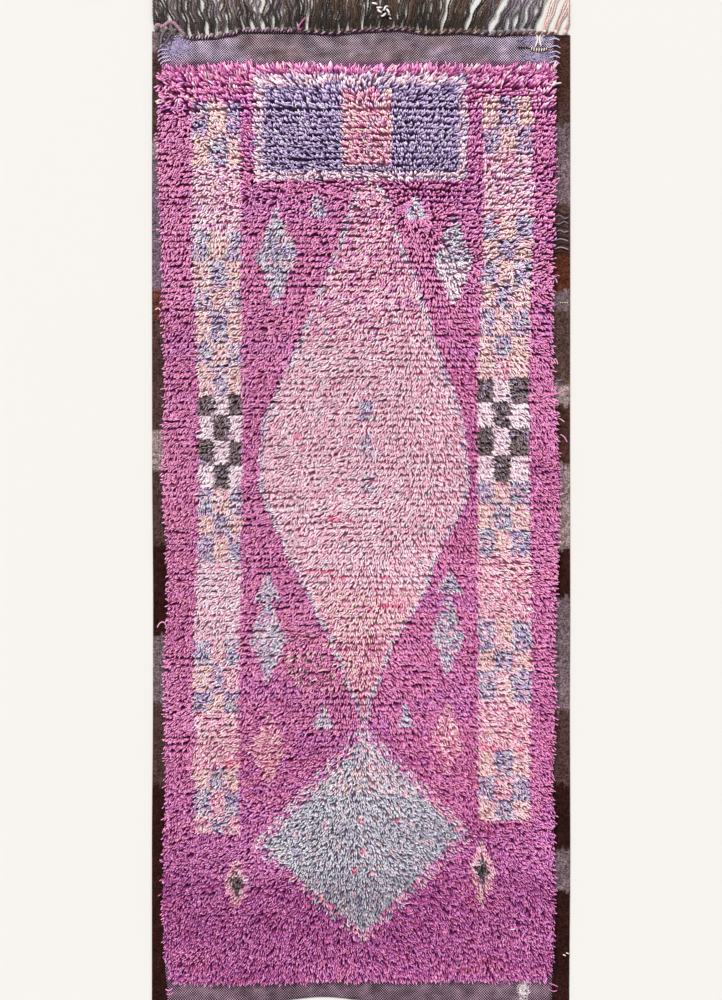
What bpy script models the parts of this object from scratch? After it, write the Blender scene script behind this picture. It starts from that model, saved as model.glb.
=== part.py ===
# Hand-knotted wool rug, lying flat on a floor.
#
# Metres, +Z up. The rug lies in the XY plane with its length along Y and its fringed end at +Y.
# The origin is the centre of its footprint, at floor level.
#
# Five sub-parts: the woven ground with its two bare end webs, a ribbed goat-hair band along each long
# edge, the knotted pile, and the twined head of the upper end with the warp fringe fused into it.

import math
import random

import bmesh
import bpy

# Overall sizes
RUG_WIDTH = 1.045
RUG_LENGTH = 2.570
FRINGE_REACH = 0.135  # from the highest point of the woven end to the longest strand's tip
HALF_WIDTH = RUG_WIDTH / 2
HALF_LENGTH = RUG_LENGTH / 2
FIT_GAP = 0.0003  # between neighbouring pieces

# Thicknesses and heights above the floor
CLOTH_THICKNESS = 0.003
RIB_HEIGHT = 0.0008
PILE_BASE = CLOTH_THICKNESS + FIT_GAP
PILE_HEIGHT = 0.0165
RIM_HEIGHT = 0.0105
LUMP_SIZE = 0.0042

# Where the woven cloth and the pile end, along Y
WEAVE_LOW = -HALF_LENGTH
WEAVE_HIGH = HALF_LENGTH - FRINGE_REACH
PILE_LOW = -1.222
PILE_HIGH = 1.058
PILE_LOW_SLOPE = 0.008  # its lower edge climbs a little from left to right
HEAD_WIDTH = 0.005

# The long edges of the field draw in and bulge. Half widths to the left and to the right of the middle
FIELD_COLUMNS = ("y", "left", "right")
FIELD_EDGES = (
    (-1.285, 0.480, 0.474),
    (-1.180, 0.490, 0.481),
    (-1.030, 0.495, 0.484),
    (-0.880, 0.492, 0.482),
    (-0.730, 0.487, 0.477),
    (-0.580, 0.488, 0.483),
    (-0.430, 0.490, 0.481),
    (-0.280, 0.481, 0.487),
    (-0.130, 0.483, 0.490),
    (0.020, 0.495, 0.496),
    (0.170, 0.490, 0.487),
    (0.320, 0.488, 0.478),
    (0.470, 0.493, 0.476),
    (0.700, 0.500, 0.481),
    (0.845, 0.506, 0.485),
    (0.995, 0.499, 0.482),
    (1.060, 0.497, 0.481),
    (1.285, 0.499, 0.483),
)

# The outer edges of the side bands draw in here and there
OUTER_COLUMNS = ("y", "left_inset", "right_inset")
OUTER_EDGES = (
    (-1.285, 0.0000, 0.0025),
    (-0.900, 0.0000, 0.0000),
    (-0.520, 0.0025, 0.0010),
    (-0.300, 0.0030, 0.0000),
    (0.100, 0.0005, 0.0005),
    (0.700, 0.0000, 0.0000),
    (1.285, 0.0010, 0.0000),
)

# The fringed end isn't straight: how far it lies below its highest point
HIGH_END_COLUMNS = ("x", "dip")
HIGH_END = (
    (-0.5225, 0.003),
    (-0.478, 0.003),
    (-0.428, 0.022),
    (-0.375, 0.020),
    (-0.330, 0.013),
    (-0.290, 0.004),
    (-0.150, 0.005),
    (-0.075, 0.010),
    (0.020, 0.003),
    (0.085, 0.000),
    (0.180, 0.010),
    (0.250, 0.007),
    (0.335, 0.013),
    (0.400, 0.009),
    (0.460, 0.012),
    (0.5225, 0.012),
)

# The lower end lifts off a straight line a little left of the middle
LOW_END_COLUMNS = ("x", "rise")
LOW_END = (
    (-0.5225, 0.000),
    (-0.250, 0.003),
    (-0.100, 0.015),
    (0.030, 0.005),
    (0.220, 0.001),
    (0.5225, 0.000),
)

# How finely the solids follow those lines
STATIONS_ALONG = 60
RIBS = 4

# The pile's lumps, and the locks at its rim
LUMP_ROWS = 80
LUMP_COLUMNS = 28
CORNER_ROUNDING = 0.016
LOCK_REACH = 0.013
LOCK_TIP_SHARE = 0.42
LOCK_TIP_HEIGHT = 0.0026
LOCK_LEAN_DEG = 34

# The fringe, which fans out from the middle
STRANDS = 80
STRAND_STEPS = 4
STRAND_TIP_SHARE = 0.55
STRAND_TIP_HEIGHT = 0.0022
SHORTEST_STRAND = 0.72
LONGEST_STRAND = 31
FAN_LEFT_DEG = -14
FAN_RIGHT_DEG = 22
FAN_CROWDING = 0.33
STRAND_SWAY = 0.0015

# Base colour, roughness
FINISHES = {
    "magenta_wool": ((0.45, 0.13, 0.30, 1), 0.95),
    "lilac_brown_weave": ((0.22, 0.15, 0.19, 1), 0.92),
    "dark_goat_hair": ((0.075, 0.042, 0.038, 1), 0.88),
    "grey_goat_hair": ((0.19, 0.15, 0.155, 1), 0.88),
    "fringe_yarn": ((0.10, 0.065, 0.058, 1), 0.85),
}


def clear_scene():
    for obj in list(bpy.data.objects):
        bpy.data.objects.remove(obj, do_unlink=True)


def read_table(table, columns, at, column):
    """A column's value between two rows, eased so that the line bends softly and never overshoots."""
    k = columns.index(column)
    if at <= table[0][0]:
        return table[0][k]
    for low, high in zip(table, table[1:]):
        if at <= high[0]:
            t = (at - low[0]) / (high[0] - low[0])
            return low[k] + (high[k] - low[k]) * t * t * (3 - 2 * t)
    return table[-1][k]


def field_left(y):
    return -read_table(FIELD_EDGES, FIELD_COLUMNS, y, "left")


def field_right(y):
    return read_table(FIELD_EDGES, FIELD_COLUMNS, y, "right")


def outer_left(y):
    return -HALF_WIDTH + read_table(OUTER_EDGES, OUTER_COLUMNS, y, "left_inset")


def outer_right(y):
    return HALF_WIDTH - read_table(OUTER_EDGES, OUTER_COLUMNS, y, "right_inset")


def high_end(x):
    """Y of the cloth's upper end, under the twined head."""
    return WEAVE_HIGH - HEAD_WIDTH - read_table(HIGH_END, HIGH_END_COLUMNS, x, "dip")


def low_end(x):
    """Y of the cloth's lower end."""
    return WEAVE_LOW + read_table(LOW_END, LOW_END_COLUMNS, x, "rise")


def spread(low, high, count):
    return [low + (high - low) * i / (count - 1) for i in range(count)]


# Neighbours follow a shared line through the same stations, so the gap between them stays even
STATIONS_X = spread(-HALF_WIDTH, HALF_WIDTH, 2 * STRANDS + 2)
STATIONS_Y = spread(WEAVE_LOW, WEAVE_HIGH, STATIONS_ALONG)[1:-2]


def finish_material(name):
    colour, roughness = FINISHES[name]
    material = bpy.data.materials.get(name) or bpy.data.materials.new(name)
    material.use_nodes = True
    shader = material.node_tree.nodes["Principled BSDF"]
    shader.inputs["Base Color"].default_value = colour
    shader.inputs["Roughness"].default_value = roughness
    shader.inputs["Metallic"].default_value = 0.0
    return material


def add_object(name, bm, finish):
    """Turns a bmesh into a named object with outward faces."""
    bmesh.ops.recalc_face_normals(bm, faces=bm.faces)
    mesh = bpy.data.meshes.new(name)
    bm.to_mesh(mesh)
    bm.free()
    mesh.materials.append(finish_material(finish))
    obj = bpy.data.objects.new(name, mesh)
    bpy.context.scene.collection.objects.link(obj)
    return obj


def bridge_rings(bm, rings):
    """Skins a row of rings into a closed bar. Returns its side faces, a list for each span."""
    spans = []
    for a, b in zip(rings, rings[1:]):
        corners = range(len(a))
        turn = [(i, (i + 1) % len(a)) for i in corners]
        spans.append([bm.faces.new((a[i], a[j], b[j], b[i])) for i, j in turn])
    bm.faces.new(rings[0])
    bm.faces.new(rings[-1])
    return spans


def make_ground():
    """The woven ground: a flat sheet between the side bands, as uneven as its edges are."""
    left_top = field_left(WEAVE_HIGH)
    right_top = field_right(WEAVE_HIGH)
    left_foot = field_left(WEAVE_LOW)
    right_foot = field_right(WEAVE_LOW)
    top = [left_top] + [x for x in STATIONS_X if left_top < x < right_top] + [right_top]
    foot = [left_foot] + [x for x in STATIONS_X if left_foot < x < right_foot] + [right_foot]
    outline = [(x, low_end(x)) for x in foot]
    outline += [(field_right(y), y) for y in STATIONS_Y]
    outline += [(x, high_end(x)) for x in reversed(top)]
    outline += [(field_left(y), y) for y in reversed(STATIONS_Y)]
    bm = bmesh.new()
    sheet = bm.faces.new([bm.verts.new((x, y, 0)) for x, y in outline])
    raised = bmesh.ops.extrude_face_region(bm, geom=[sheet])["geom"]
    verts = [v for v in raised if isinstance(v, bmesh.types.BMVert)]
    bmesh.ops.translate(bm, verts=verts, vec=(0, 0, CLOTH_THICKNESS))
    return add_object("ground_weave", bm, "lilac_brown_weave")


def make_side_band(name, inner, outer, finish):
    """A flat band with ribs along its length. It is as wide as the room between the field and its outer edge."""
    side = math.copysign(1, outer(0))
    lines = 2 * RIBS + 1
    bm = bmesh.new()
    rings = []
    for y in [WEAVE_LOW] + STATIONS_Y + [WEAVE_HIGH]:
        xs = spread(inner(y) + side * FIT_GAP, outer(y), lines)
        section = [(x, CLOTH_THICKNESS - (RIB_HEIGHT if i % 2 == 0 else 0)) for i, x in enumerate(xs)]
        section += [(xs[-1], 0), (xs[0], 0)]
        ring = []
        for x, z in section:
            ring.append(bm.verts.new((x, max(low_end(x), min(high_end(x), y)), z)))
        rings.append(ring)
    bridge_rings(bm, rings)
    return add_object(name, bm, finish)


def pile_point(u, v):
    """A place on the pile: u runs from left to right, v from its upper edge to its lower one."""
    y_straight = PILE_HIGH + (PILE_LOW - PILE_HIGH) * v
    x = field_left(y_straight) + (field_right(y_straight) - field_left(y_straight)) * u
    y = y_straight + PILE_LOW_SLOPE * (u - 0.5) * v
    rows_from_end = min(v, 1 - v) * LUMP_ROWS
    rounding = CORNER_ROUNDING * max(0.0, 1 - rows_from_end / 2) * abs(2 * u - 1) ** 6
    return x - math.copysign(rounding, u - 0.5), y


def lump_height(i, j, rng):
    """Height of the tufts above the cloth: in ridges across the rug, uneven, and lower along the rim."""
    if i in (0, LUMP_ROWS) or j in (0, LUMP_COLUMNS):
        return RIM_HEIGHT + rng.uniform(-0.3, 0.3) * LUMP_SIZE
    ridge = 0.3 if i % 2 else -0.3
    return PILE_HEIGHT - LUMP_SIZE + (ridge + rng.uniform(-0.7, 0.7)) * LUMP_SIZE


def rim_places():
    """The rim as (row, column), anticlockwise from above, from its upper left corner."""
    down = [(i, 0) for i in range(LUMP_ROWS)]
    across = [(LUMP_ROWS, j) for j in range(LUMP_COLUMNS)]
    up = [(i, LUMP_COLUMNS) for i in range(LUMP_ROWS, 0, -1)]
    back = [(0, j) for j in range(LUMP_COLUMNS, 0, -1)]
    return down + across + up + back


def lock_direction(a, b):
    """Which way a rim lock points: out, and down the rug as the nap does. The upper edge has none."""
    lean = math.radians(LOCK_LEAN_DEG)
    if a[0] == b[0] == 0:
        return None
    if a[1] == b[1] == 0:
        return -math.cos(lean), -math.sin(lean)
    if a[1] == b[1] == LUMP_COLUMNS:
        return math.cos(lean), -math.sin(lean)
    share = (a[1] + b[1]) / LUMP_COLUMNS - 1
    return math.sin(lean * share), -math.cos(lean * share)


def add_lock(bm, face, direction, reach):
    """Draws a rim face out into a tapering lock whose tip hangs just over the cloth."""
    tip = bmesh.ops.extrude_discrete_faces(bm, faces=[face])["faces"][0]
    centre = tip.calc_center_median()
    for v in tip.verts:
        v.co.x = centre.x + (v.co.x - centre.x) * LOCK_TIP_SHARE + direction[0] * reach
        v.co.y = centre.y + (v.co.y - centre.y) * LOCK_TIP_SHARE + direction[1] * reach
        v.co.z = PILE_BASE + (LOCK_TIP_HEIGHT if v.co.z > centre.z else 0)


def make_pile():
    """The knotted pile as one lumpy slab on the ground, with locks along its sides and its lower edge."""
    rng = random.Random(5)
    bm = bmesh.new()
    grid = {}
    for i in range(LUMP_ROWS + 1):
        for j in range(LUMP_COLUMNS + 1):
            x, y = pile_point(j / LUMP_COLUMNS, i / LUMP_ROWS)
            grid[i, j] = bm.verts.new((x, y, PILE_BASE + lump_height(i, j, rng)))
    for i in range(LUMP_ROWS):
        for j in range(LUMP_COLUMNS):
            bm.faces.new((grid[i, j], grid[i + 1, j], grid[i + 1, j + 1], grid[i, j + 1]))
    rim = rim_places()
    foot = {place: bm.verts.new((grid[place].co.x, grid[place].co.y, PILE_BASE)) for place in rim}
    bm.faces.new([foot[place] for place in rim])
    sides = []
    for a, b in zip(rim, rim[1:] + rim[:1]):
        face = bm.faces.new((grid[a], grid[b], foot[b], foot[a]))
        sides.append((face, lock_direction(a, b)))
    for face, direction in sides:
        if direction:
            add_lock(bm, face, direction, LOCK_REACH * rng.uniform(0.7, 1.0))
    return add_object("pile_field", bm, "magenta_wool")


def fan_shift(x, reach):
    """How far a strand's tip lies to the side of its root. Near the corners the strands crowd but never meet."""
    share = (x + HALF_WIDTH) / RUG_WIDTH
    lean = math.radians(FAN_LEFT_DEG + (FAN_RIGHT_DEG - FAN_LEFT_DEG) * share)
    shift = math.tan(lean) * reach
    return max(-FAN_CROWDING * (x + HALF_WIDTH), min(FAN_CROWDING * (HALF_WIDTH - x), shift))


def add_strand(bm, face, length_share, sway):
    """One four-sided strand, drawn out of the head in steps, with its underside level on the floor."""
    root = face.calc_center_median()
    reach = (HALF_LENGTH - root.y) * length_share
    shift = fan_shift(root.x, reach)
    half_root = max(v.co.x for v in face.verts) - root.x
    for step in range(1, STRAND_STEPS + 1):
        t = step / STRAND_STEPS
        face = bmesh.ops.extrude_discrete_faces(bm, faces=[face])["faces"][0]
        centre = face.calc_center_median()
        x = root.x + shift * t + sway * math.sin(1.5 * math.pi * t)
        y = root.y + reach * t
        half = half_root * (1 + (STRAND_TIP_SHARE - 1) * t)
        height = CLOTH_THICKNESS + (STRAND_TIP_HEIGHT - CLOTH_THICKNESS) * t
        for v in face.verts:
            v.co = (x + math.copysign(half, v.co.x - centre.x), y, height if v.co.z > centre.z else 0)


def make_fringe():
    """The twined head along the cloth's upper end. Every other stretch of it is drawn out into a strand."""
    rng = random.Random(11)
    bm = bmesh.new()
    rings = []
    for x in STATIONS_X:
        near = high_end(x) + FIT_GAP
        far = near + HEAD_WIDTH - FIT_GAP
        section = ((near, 0), (far, 0), (far, CLOTH_THICKNESS), (near, CLOTH_THICKNESS))
        rings.append([bm.verts.new((x, y, z)) for y, z in section])
    spans = bridge_rings(bm, rings)
    for k, span in enumerate(spans[1::2]):
        length_share = 1.0 if k == LONGEST_STRAND else rng.uniform(SHORTEST_STRAND, 0.98)
        add_strand(bm, span[1], length_share, STRAND_SWAY * rng.uniform(-1, 1))
    return add_object("warp_fringe", bm, "fringe_yarn")


def main():
    clear_scene()
    make_ground()
    make_side_band("side_band_left", field_left, outer_left, "dark_goat_hair")
    make_side_band("side_band_right", field_right, outer_right, "grey_goat_hair")
    make_pile()
    make_fringe()


main()
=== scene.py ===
# Hand-knotted wool rug: the looks, in metres, in the frame of the CAD solids.
#
# The pile is real cut yarn ends, one mesh for each dye lot. The ground, the side bands, the twined head
# and the fringe are meshes of their own on the places that the CAD nodes give. +Y is up the rug.
#
# Each yarn mesh carries a UV chart: U picks a shade of its dye and runs round the strand, and V runs
# from its root to its tip. Materials read the chart, so colour never depends on the view.

import math

import bpy
import numpy as np
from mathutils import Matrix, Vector


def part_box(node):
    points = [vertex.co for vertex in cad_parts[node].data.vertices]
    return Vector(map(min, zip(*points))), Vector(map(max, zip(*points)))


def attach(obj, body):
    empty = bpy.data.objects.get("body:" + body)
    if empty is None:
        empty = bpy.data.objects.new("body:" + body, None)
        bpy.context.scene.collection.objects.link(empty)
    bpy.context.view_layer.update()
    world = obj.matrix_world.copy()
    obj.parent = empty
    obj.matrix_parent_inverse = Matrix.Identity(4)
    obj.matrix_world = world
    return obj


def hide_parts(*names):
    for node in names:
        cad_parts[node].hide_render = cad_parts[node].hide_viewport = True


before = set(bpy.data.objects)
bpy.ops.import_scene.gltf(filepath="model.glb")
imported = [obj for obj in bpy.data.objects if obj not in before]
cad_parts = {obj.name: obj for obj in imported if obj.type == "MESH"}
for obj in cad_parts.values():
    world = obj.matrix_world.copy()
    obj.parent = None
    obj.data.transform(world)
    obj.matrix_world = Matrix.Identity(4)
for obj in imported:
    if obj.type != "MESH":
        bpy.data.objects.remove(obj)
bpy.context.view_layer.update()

# The yarn chart: its strips, and the margin on both sides of each
CHART = "OFBake"
SHADES = 40
STRIP_MARGIN = 0.08
CAP_ON_STRIP = (0.2, 0.8)

# Rows of knots. Below the crest each row has two courses.
PILE_HIGH = 1.036
PILE_LOW = -1.2225
PILE_LOW_SLOPE = 0.008
FLOOR_OF_PILE = 0.0034
ROW_PITCH = 0.0152
KNOT_PITCH_HIGH = 0.0084
KNOT_PITCH_LOW = 0.0062
EDGE_INSET = 0.0045
TUFT_HEIGHT = 0.0122
TUFT_REACH = 0.0145

# How much lower a row's second course lies, as a share of the row
# Columns: down the pile, share
SECOND_COURSE = (
    (0.00, 0.30),
    (0.70, 0.34),
    (0.85, 0.50),
)

# The crest: its first rows stand far apart and long, with several courses of knots from the root line up
# Columns: y, reach, courses, step
CREST = (
    (1.0360, 0.0285, 3, -0.0050),
    (1.0010, 0.0240, 3, 0.0085),
    (0.9810, 0.0205, 2, 0.0085),
    (0.9635, 0.0180, 2, 0.0070),
    (0.9460, 0.0165, 2, 0.0060),
)
CREST_KNOT_PITCH = 0.0090

# Each knot's tuft has this many plies of yarn
PLIES = 2

# The share of a ply's reach, height and width at each of its rings
# Columns: along, rise, width
PLY_RINGS = (
    (0.00, 0.35, 0.85),
    (0.48, 1.00, 1.00),
    (1.00, 0.70, 0.62),
)

# A ply's section is a triangle: its left, top and right corners, in half widths across and up
PLY_CORNERS = (
    (-1.0, -0.75),
    (0.0, 0.95),
    (1.0, -0.75),
)

# The nap fans out. Above this line it lies up the rug, and below it down the rug.
# Columns: x, y
TURN = (
    (-0.49, 1.03),
    (-0.43, 0.92),
    (-0.35, 0.76),
    (0.05, 0.73),
    (0.15, 0.68),
    (0.25, 0.55),
    (0.45, 0.52),
)

# Tufts that stand where the nap turns: the middle and half width of a stretch, and how many it has
# Columns: x, half_x, tufts
STANDING = (
    (0.000, 0.480, 260),
    (0.138, 0.022, 90),
)
STANDING_SPREAD = 0.013

# Left of this line the nap lies to the left, and right of it to the right
# Columns: y, x
SHED = (
    (-1.20, -0.04),
    (-1.00, -0.04),
    (-0.45, 0.00),
    (-0.30, 0.06),
    (-0.20, 0.04),
    (-0.09, 0.18),
    (0.13, 0.13),
    (0.47, 0.18),
    (0.60, 0.15),
    (0.92, 0.10),
    (1.03, -0.08),
)
NAP_DOWN = 0.67
NAP_ASIDE = 0.74
TURN_WIDTH = 0.045
TURN_SOFTNESS = 0.090
SHED_SOFTNESS = 0.12
SWIRL = 11
WIDE_SWIRL = 9

# Partings: rows that lie apart, so that a dark line shows between them
# Columns: y, slope, x_from, x_to, depth
PARTINGS = (
    (0.994, 0.00, -0.48, -0.26, 0.50),
    (0.987, 0.02, 0.25, 0.50, 0.90),
    (0.967, 0.00, 0.10, 0.50, 0.65),
    (0.949, 0.00, 0.17, 0.46, 0.65),
    (0.758, 0.00, -0.24, 0.01, 0.25),
    (0.724, 0.00, 0.00, 0.24, 0.55),
    (0.735, 0.10, -0.49, -0.20, 0.40),
    (0.583, 0.03, 0.19, 0.49, 0.55),
    (0.553, 0.00, -0.27, 0.28, 0.50),
    (0.390, 0.02, -0.30, 0.47, 0.35),
    (-0.003, 0.00, -0.31, -0.12, 0.70),
    (-0.016, 0.00, -0.31, -0.20, 0.50),
    (-0.080, -0.02, -0.22, 0.00, 0.40),
)
PARTING_HALF = 0.009
PARTING_TAPER = 0.03
PARTING_WANDER = 0.002
SMALL_PARTING_FROM = 0.35

# Measures that change over the rug: the first value, then the amount, start and run of each change.
# A change with a negative run grows towards lower values.
CHANGES = {
    # These go by y
    "lower_corner": (0.0, (0.016, -1.165, -0.060)),
    "row_reach": (1.0, (-0.05, -0.5, -0.4), (0.22, -1.165, -0.03)),
    "aside": (0.52, (0.48, -1.15, 0.50)),
    "aside_first_rows": (1.0, (-0.45, 1.010, 0.02)),
    "aside_last_rows": (1.0, (-0.45, -1.165, -0.03)),
    "small_partings": (0.2, (0.7, -0.9, 0.5)),
    "calm_crest": (0.0, (0.45, 0.93, 0.06)),
    "fat": (1.0, (0.17, 0.93, 0.08)),
    "fade": (0.60, (-0.10, -0.35, -0.25), (-0.24, -0.78, -0.25), (-0.13, -1.12, -0.06)),
    "crest_fade": (0.0, (-0.05, 0.95, 0.06), (-0.40, 1.01, 0.03)),
    "violet_ends": (0.0, (1.0, -0.62, -0.45), (1.0, 0.88, 0.12)),
    "pink_upper_web": (0.0, (1.0, 1.074, -0.016)),
    "pink_lower_web": (0.0, (0.5, -1.246, 0.014)),
    # These go by the distance from the rug's middle line
    "fade_sides": (0.0, (0.10, 0.28, 0.16)),
    "web_sides": (0.0, (1.0, 0.26, 0.10)),
    # These go by the share of the pile that lies above, from 0 at its first row to 1 at its last
    "knot_pitch": (KNOT_PITCH_HIGH, (KNOT_PITCH_LOW - KNOT_PITCH_HIGH, 0.0, 1 / 2.2)),
    "wide_row": (0.0, (0.010, 0.0, 0.125), (-0.010, 0.875, 0.125)),
    "loose_row": (0.0007, (0.0010, 0.70, 0.15)),
    "unruly": (0.8, (0.3, 0.45, 0.4)),
    "curl": (0.20, (-0.08, 0.35, 0.3)),
    "lumpy": (1.0, (-0.45, 0.5, 0.35)),
}

# Knots stray further from their row's line down the pile, and where the nap turns
LOOSER_DOWN = 0.0007
LOOSER_AT_TURN = 0.0030

# Soft random patterns: the width and height of one bump, and the seed
NOISES = {
    "swirl": (0.07, 0.05, 3),
    "wide_swirl": (0.20, 0.16, 4),
    "row": (0.10, 0.05, 5),
    "wide_row": (0.45, 0.40, 6),
    "parting": (0.11, 0.012, 8),
    "parting_line": (0.05, 1.0, 9),
    "lumps": (0.03, 0.02, 10),
    "bend": (0.05, 0.03, 11),
    "ragged_x": (0.012, 0.014, 12),
    "ragged_y": (0.02, 0.014, 13),
    "fade": (0.25, 0.18, 14),
    "fade_streak": (0.8, 0.045, 15),
    "dye_drift": (0.28, 0.07, 16),
    "dye_ripple": (0.05, 0.03, 17),
    "mingling": (0.010, 0.012, 31),
    "web_wave": (0.05, 0.03, 31),
    "web_ripple": (0.012, 0.01, 32),
    "weft_patch": (0.10, 0.035, 33),
    "weft_fleck": (0.02, 0.006, 34),
    "weft_stain": (0.03, 0.01, 35),
    "weft_shade": (0.014, 0.006, 36),
    "hair_edge": (0.006, 0.004, 0),
    "hair_fleck": (0.012, 0.0035, 1),
    "hair_slow": (0.03, 0.05, 2),
    "hair_lump": (0.004, 0.004, 3),
    "twine_wobble": (0.02, 1.0, 42),
    "twine_turn": (0.03, 1.0, 46),
    "twine_shade": (0.012, 1.0, 47),
    "binding_wobble": (0.015, 1.0, 48),
}

# Yarn colours, sRGB: the matted foot of the pile, its dye darkened well below the roots' as painted shade
# between the tufts, the deep dye that the roots keep, and the faded tips
# Columns: foot, deep, faded, slot
YARNS = {
    "magenta": ((66, 10, 46), (156, 40, 117), (252, 176, 218), "magenta_wool"),
    "orchid": ((62, 10, 50), (148, 40, 124), (244, 172, 228), "magenta_wool"),
    "rose": ((72, 12, 44), (164, 44, 106), (252, 178, 210), "magenta_wool"),
    "pink": ((140, 74, 98), (214, 132, 160), (255, 224, 236), "pink_wool"),
    "hot_pink": ((120, 26, 60), (218, 70, 118), (252, 156, 182), "hot_pink_wool"),
    "lilac": ((38, 22, 48), (100, 73, 126), (228, 207, 240), "lilac_wool"),
    "blue": ((100, 92, 108), (142, 134, 152), (242, 240, 248), "blue_wool"),
    "cream": ((140, 98, 98), (208, 156, 158), (255, 234, 226), "cream_wool"),
    "white": ((140, 98, 116), (206, 156, 178), (255, 243, 250), "white_wool"),
    "bright": ((146, 104, 122), (222, 184, 202), (255, 250, 252), "white_wool"),
    "brown": ((14, 8, 8), (44, 30, 30), (168, 144, 150), "brown_wool"),
}


def linear(colour):
    """An sRGB colour, 0 to 255, as the linear numbers that Blender works in, with alpha."""
    parts = [c / 255 for c in colour]
    return tuple(p / 12.92 if p <= 0.04045 else ((p + 0.055) / 1.055) ** 2.4 for p in parts) + (1.0,)


def value_at(table, at):
    """The value of a table of two columns at a place."""
    return np.interp(at, *zip(*table))


def smooth(t):
    t = np.clip(t, 0, 1)
    return t * t * (3 - 2 * t)


def measure(name, at):
    """A measure of CHANGES at a place: its first value, and what its changes have added by there."""
    value, *changes = CHANGES[name]
    for amount, start, run in changes:
        value = value + amount * smooth((at - start) / run)
    return value


LATTICE = 256


def soft_noise(name, x, y, more_seed=0):
    """Smooth random values from -1 to 1, with one bump to each width by height that NOISES gives."""
    width, height, seed = NOISES[name]
    lattice = np.random.default_rng(seed + more_seed).uniform(-1, 1, (LATTICE, LATTICE))
    u, v = np.asarray(x) / width + 100, np.asarray(y) / height + 100
    i, j = np.floor(u).astype(int), np.floor(v).astype(int)
    s, t = smooth(u - i), smooth(v - j)
    i, j, right, above = i % LATTICE, j % LATTICE, (i + 1) % LATTICE, (j + 1) % LATTICE
    low = lattice[i, j] * (1 - s) + lattice[right, j] * s
    high = lattice[i, above] * (1 - s) + lattice[right, above] * s
    return low * (1 - t) + high * t


def points_of(mesh):
    points = np.empty(3 * len(mesh.vertices))
    mesh.vertices.foreach_get("co", points)
    return points.reshape(-1, 3)


def edge_of(points, run, pick):
    """An edge of a set of points, as a function of the place along the axis that it runs on.

    pick takes the lowest or the highest of the other axis at each station.
    """
    stations, which = np.unique(points[:, run].round(4), return_inverse=True)
    level = np.array([pick(points[which == k, 1 - run]) for k in range(len(stations))])
    return lambda at: np.interp(at, stations, level)


BAND_ENDS = 0.03
UPPER_END_ABOVE = 1.10
LOWER_END_BELOW = -1.25


def rows_of_band(node):
    """The points of a side band, without its ends, which don't lie square to it."""
    points = points_of(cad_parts[node].data)
    low, high = points[:, 1].min() + BAND_ENDS, points[:, 1].max() - BAND_ENDS
    return points[(points[:, 1] > low) & (points[:, 1] < high)]


LEFT_BAND = rows_of_band("side_band_left")
RIGHT_BAND = rows_of_band("side_band_right")
field_left = edge_of(LEFT_BAND, 1, np.max)
field_right = edge_of(RIGHT_BAND, 1, np.min)
outer_left = edge_of(LEFT_BAND, 1, np.min)
outer_right = edge_of(RIGHT_BAND, 1, np.max)
GROUND = points_of(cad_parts["ground_weave"].data)
upper_end = edge_of(GROUND[GROUND[:, 1] > UPPER_END_ABOVE], 0, np.max)
lower_end = edge_of(GROUND[GROUND[:, 1] < LOWER_END_BELOW], 0, np.min)


def add_mesh(name, points, faces, chart=None, smooth_faces=True):
    """A mesh object from arrays: points (n, 3), a list of faces (m, corners), and a UV for each corner."""
    sizes = np.concatenate([np.full(len(f), f.shape[1]) for f in faces])
    corners = np.concatenate([f.ravel() for f in faces])
    mesh = bpy.data.meshes.new(name)
    mesh.vertices.add(len(points))
    mesh.vertices.foreach_set("co", points.astype(np.float32).ravel())
    mesh.loops.add(len(corners))
    mesh.loops.foreach_set("vertex_index", corners.astype(np.int32))
    mesh.polygons.add(len(sizes))
    mesh.polygons.foreach_set("loop_start", (np.cumsum(sizes) - sizes).astype(np.int32))
    mesh.polygons.foreach_set("use_smooth", np.full(len(sizes), smooth_faces))
    if chart is not None:
        layer = mesh.uv_layers.new(name=CHART)
        layer.uv.foreach_set("vector", chart.astype(np.float32).ravel())
    mesh.update(calc_edges=True)
    obj = bpy.data.objects.new(name, mesh)
    bpy.context.scene.collection.objects.link(obj)
    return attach(obj, "root")


def shade_strip(shade, around):
    """U on the yarn chart, for a shade from 0 to 1 and a place round the strand from 0 to 1."""
    strip = np.clip((shade * SHADES).astype(int), 0, SHADES - 1)
    return (strip + STRIP_MARGIN + (1 - 2 * STRIP_MARGIN) * around) / SHADES


def tubes(name, rings, sides, shades, along):
    """Closed tubes in one mesh. rings is (tubes, rings, sides, 3), and along gives V at each ring."""
    count, steps = rings.shape[:2]
    size = steps * sides
    first = np.arange(count)[:, None, None] * size
    ring, side = np.meshgrid(np.arange(steps - 1), np.arange(sides), indexing="ij")
    low, high = ring * sides, (ring + 1) * sides
    turn = (side + 1) % sides
    quads = np.stack([low + side, low + turn, high + turn, high + side], -1).reshape(1, -1, 4) + first
    caps = np.stack([np.arange(sides)[::-1], size - sides + np.arange(sides)])[None] + first
    wall_u = np.stack([side, side + 1, side + 1, side], -1).reshape(1, -1, 4) / sides
    wall_v = along[np.stack([ring, ring, ring + 1, ring + 1], -1)].reshape(1, -1, 4)
    cap_v = np.array([[along[0]] * sides, [along[-1]] * sides])[None]
    shade = shades[:, None, None]
    wall = np.stack([shade_strip(shade, wall_u), np.broadcast_to(wall_v, (count,) + wall_v.shape[1:])], -1)
    cap_u = shade_strip(shade, np.linspace(*CAP_ON_STRIP, sides)[None, None] + np.zeros((1, 2, 1)))
    cap = np.stack([cap_u, np.broadcast_to(cap_v, cap_u.shape)], -1)
    chart = np.concatenate([wall.reshape(-1, 2), cap.reshape(-1, 2)])
    faces = [quads.reshape(-1, 4), caps.reshape(-1, sides)]
    return add_mesh(name, rings.reshape(-1, 3), faces, chart)


# The design, in metres from the middle of the rug. Each mark says where a yarn goes.

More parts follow.
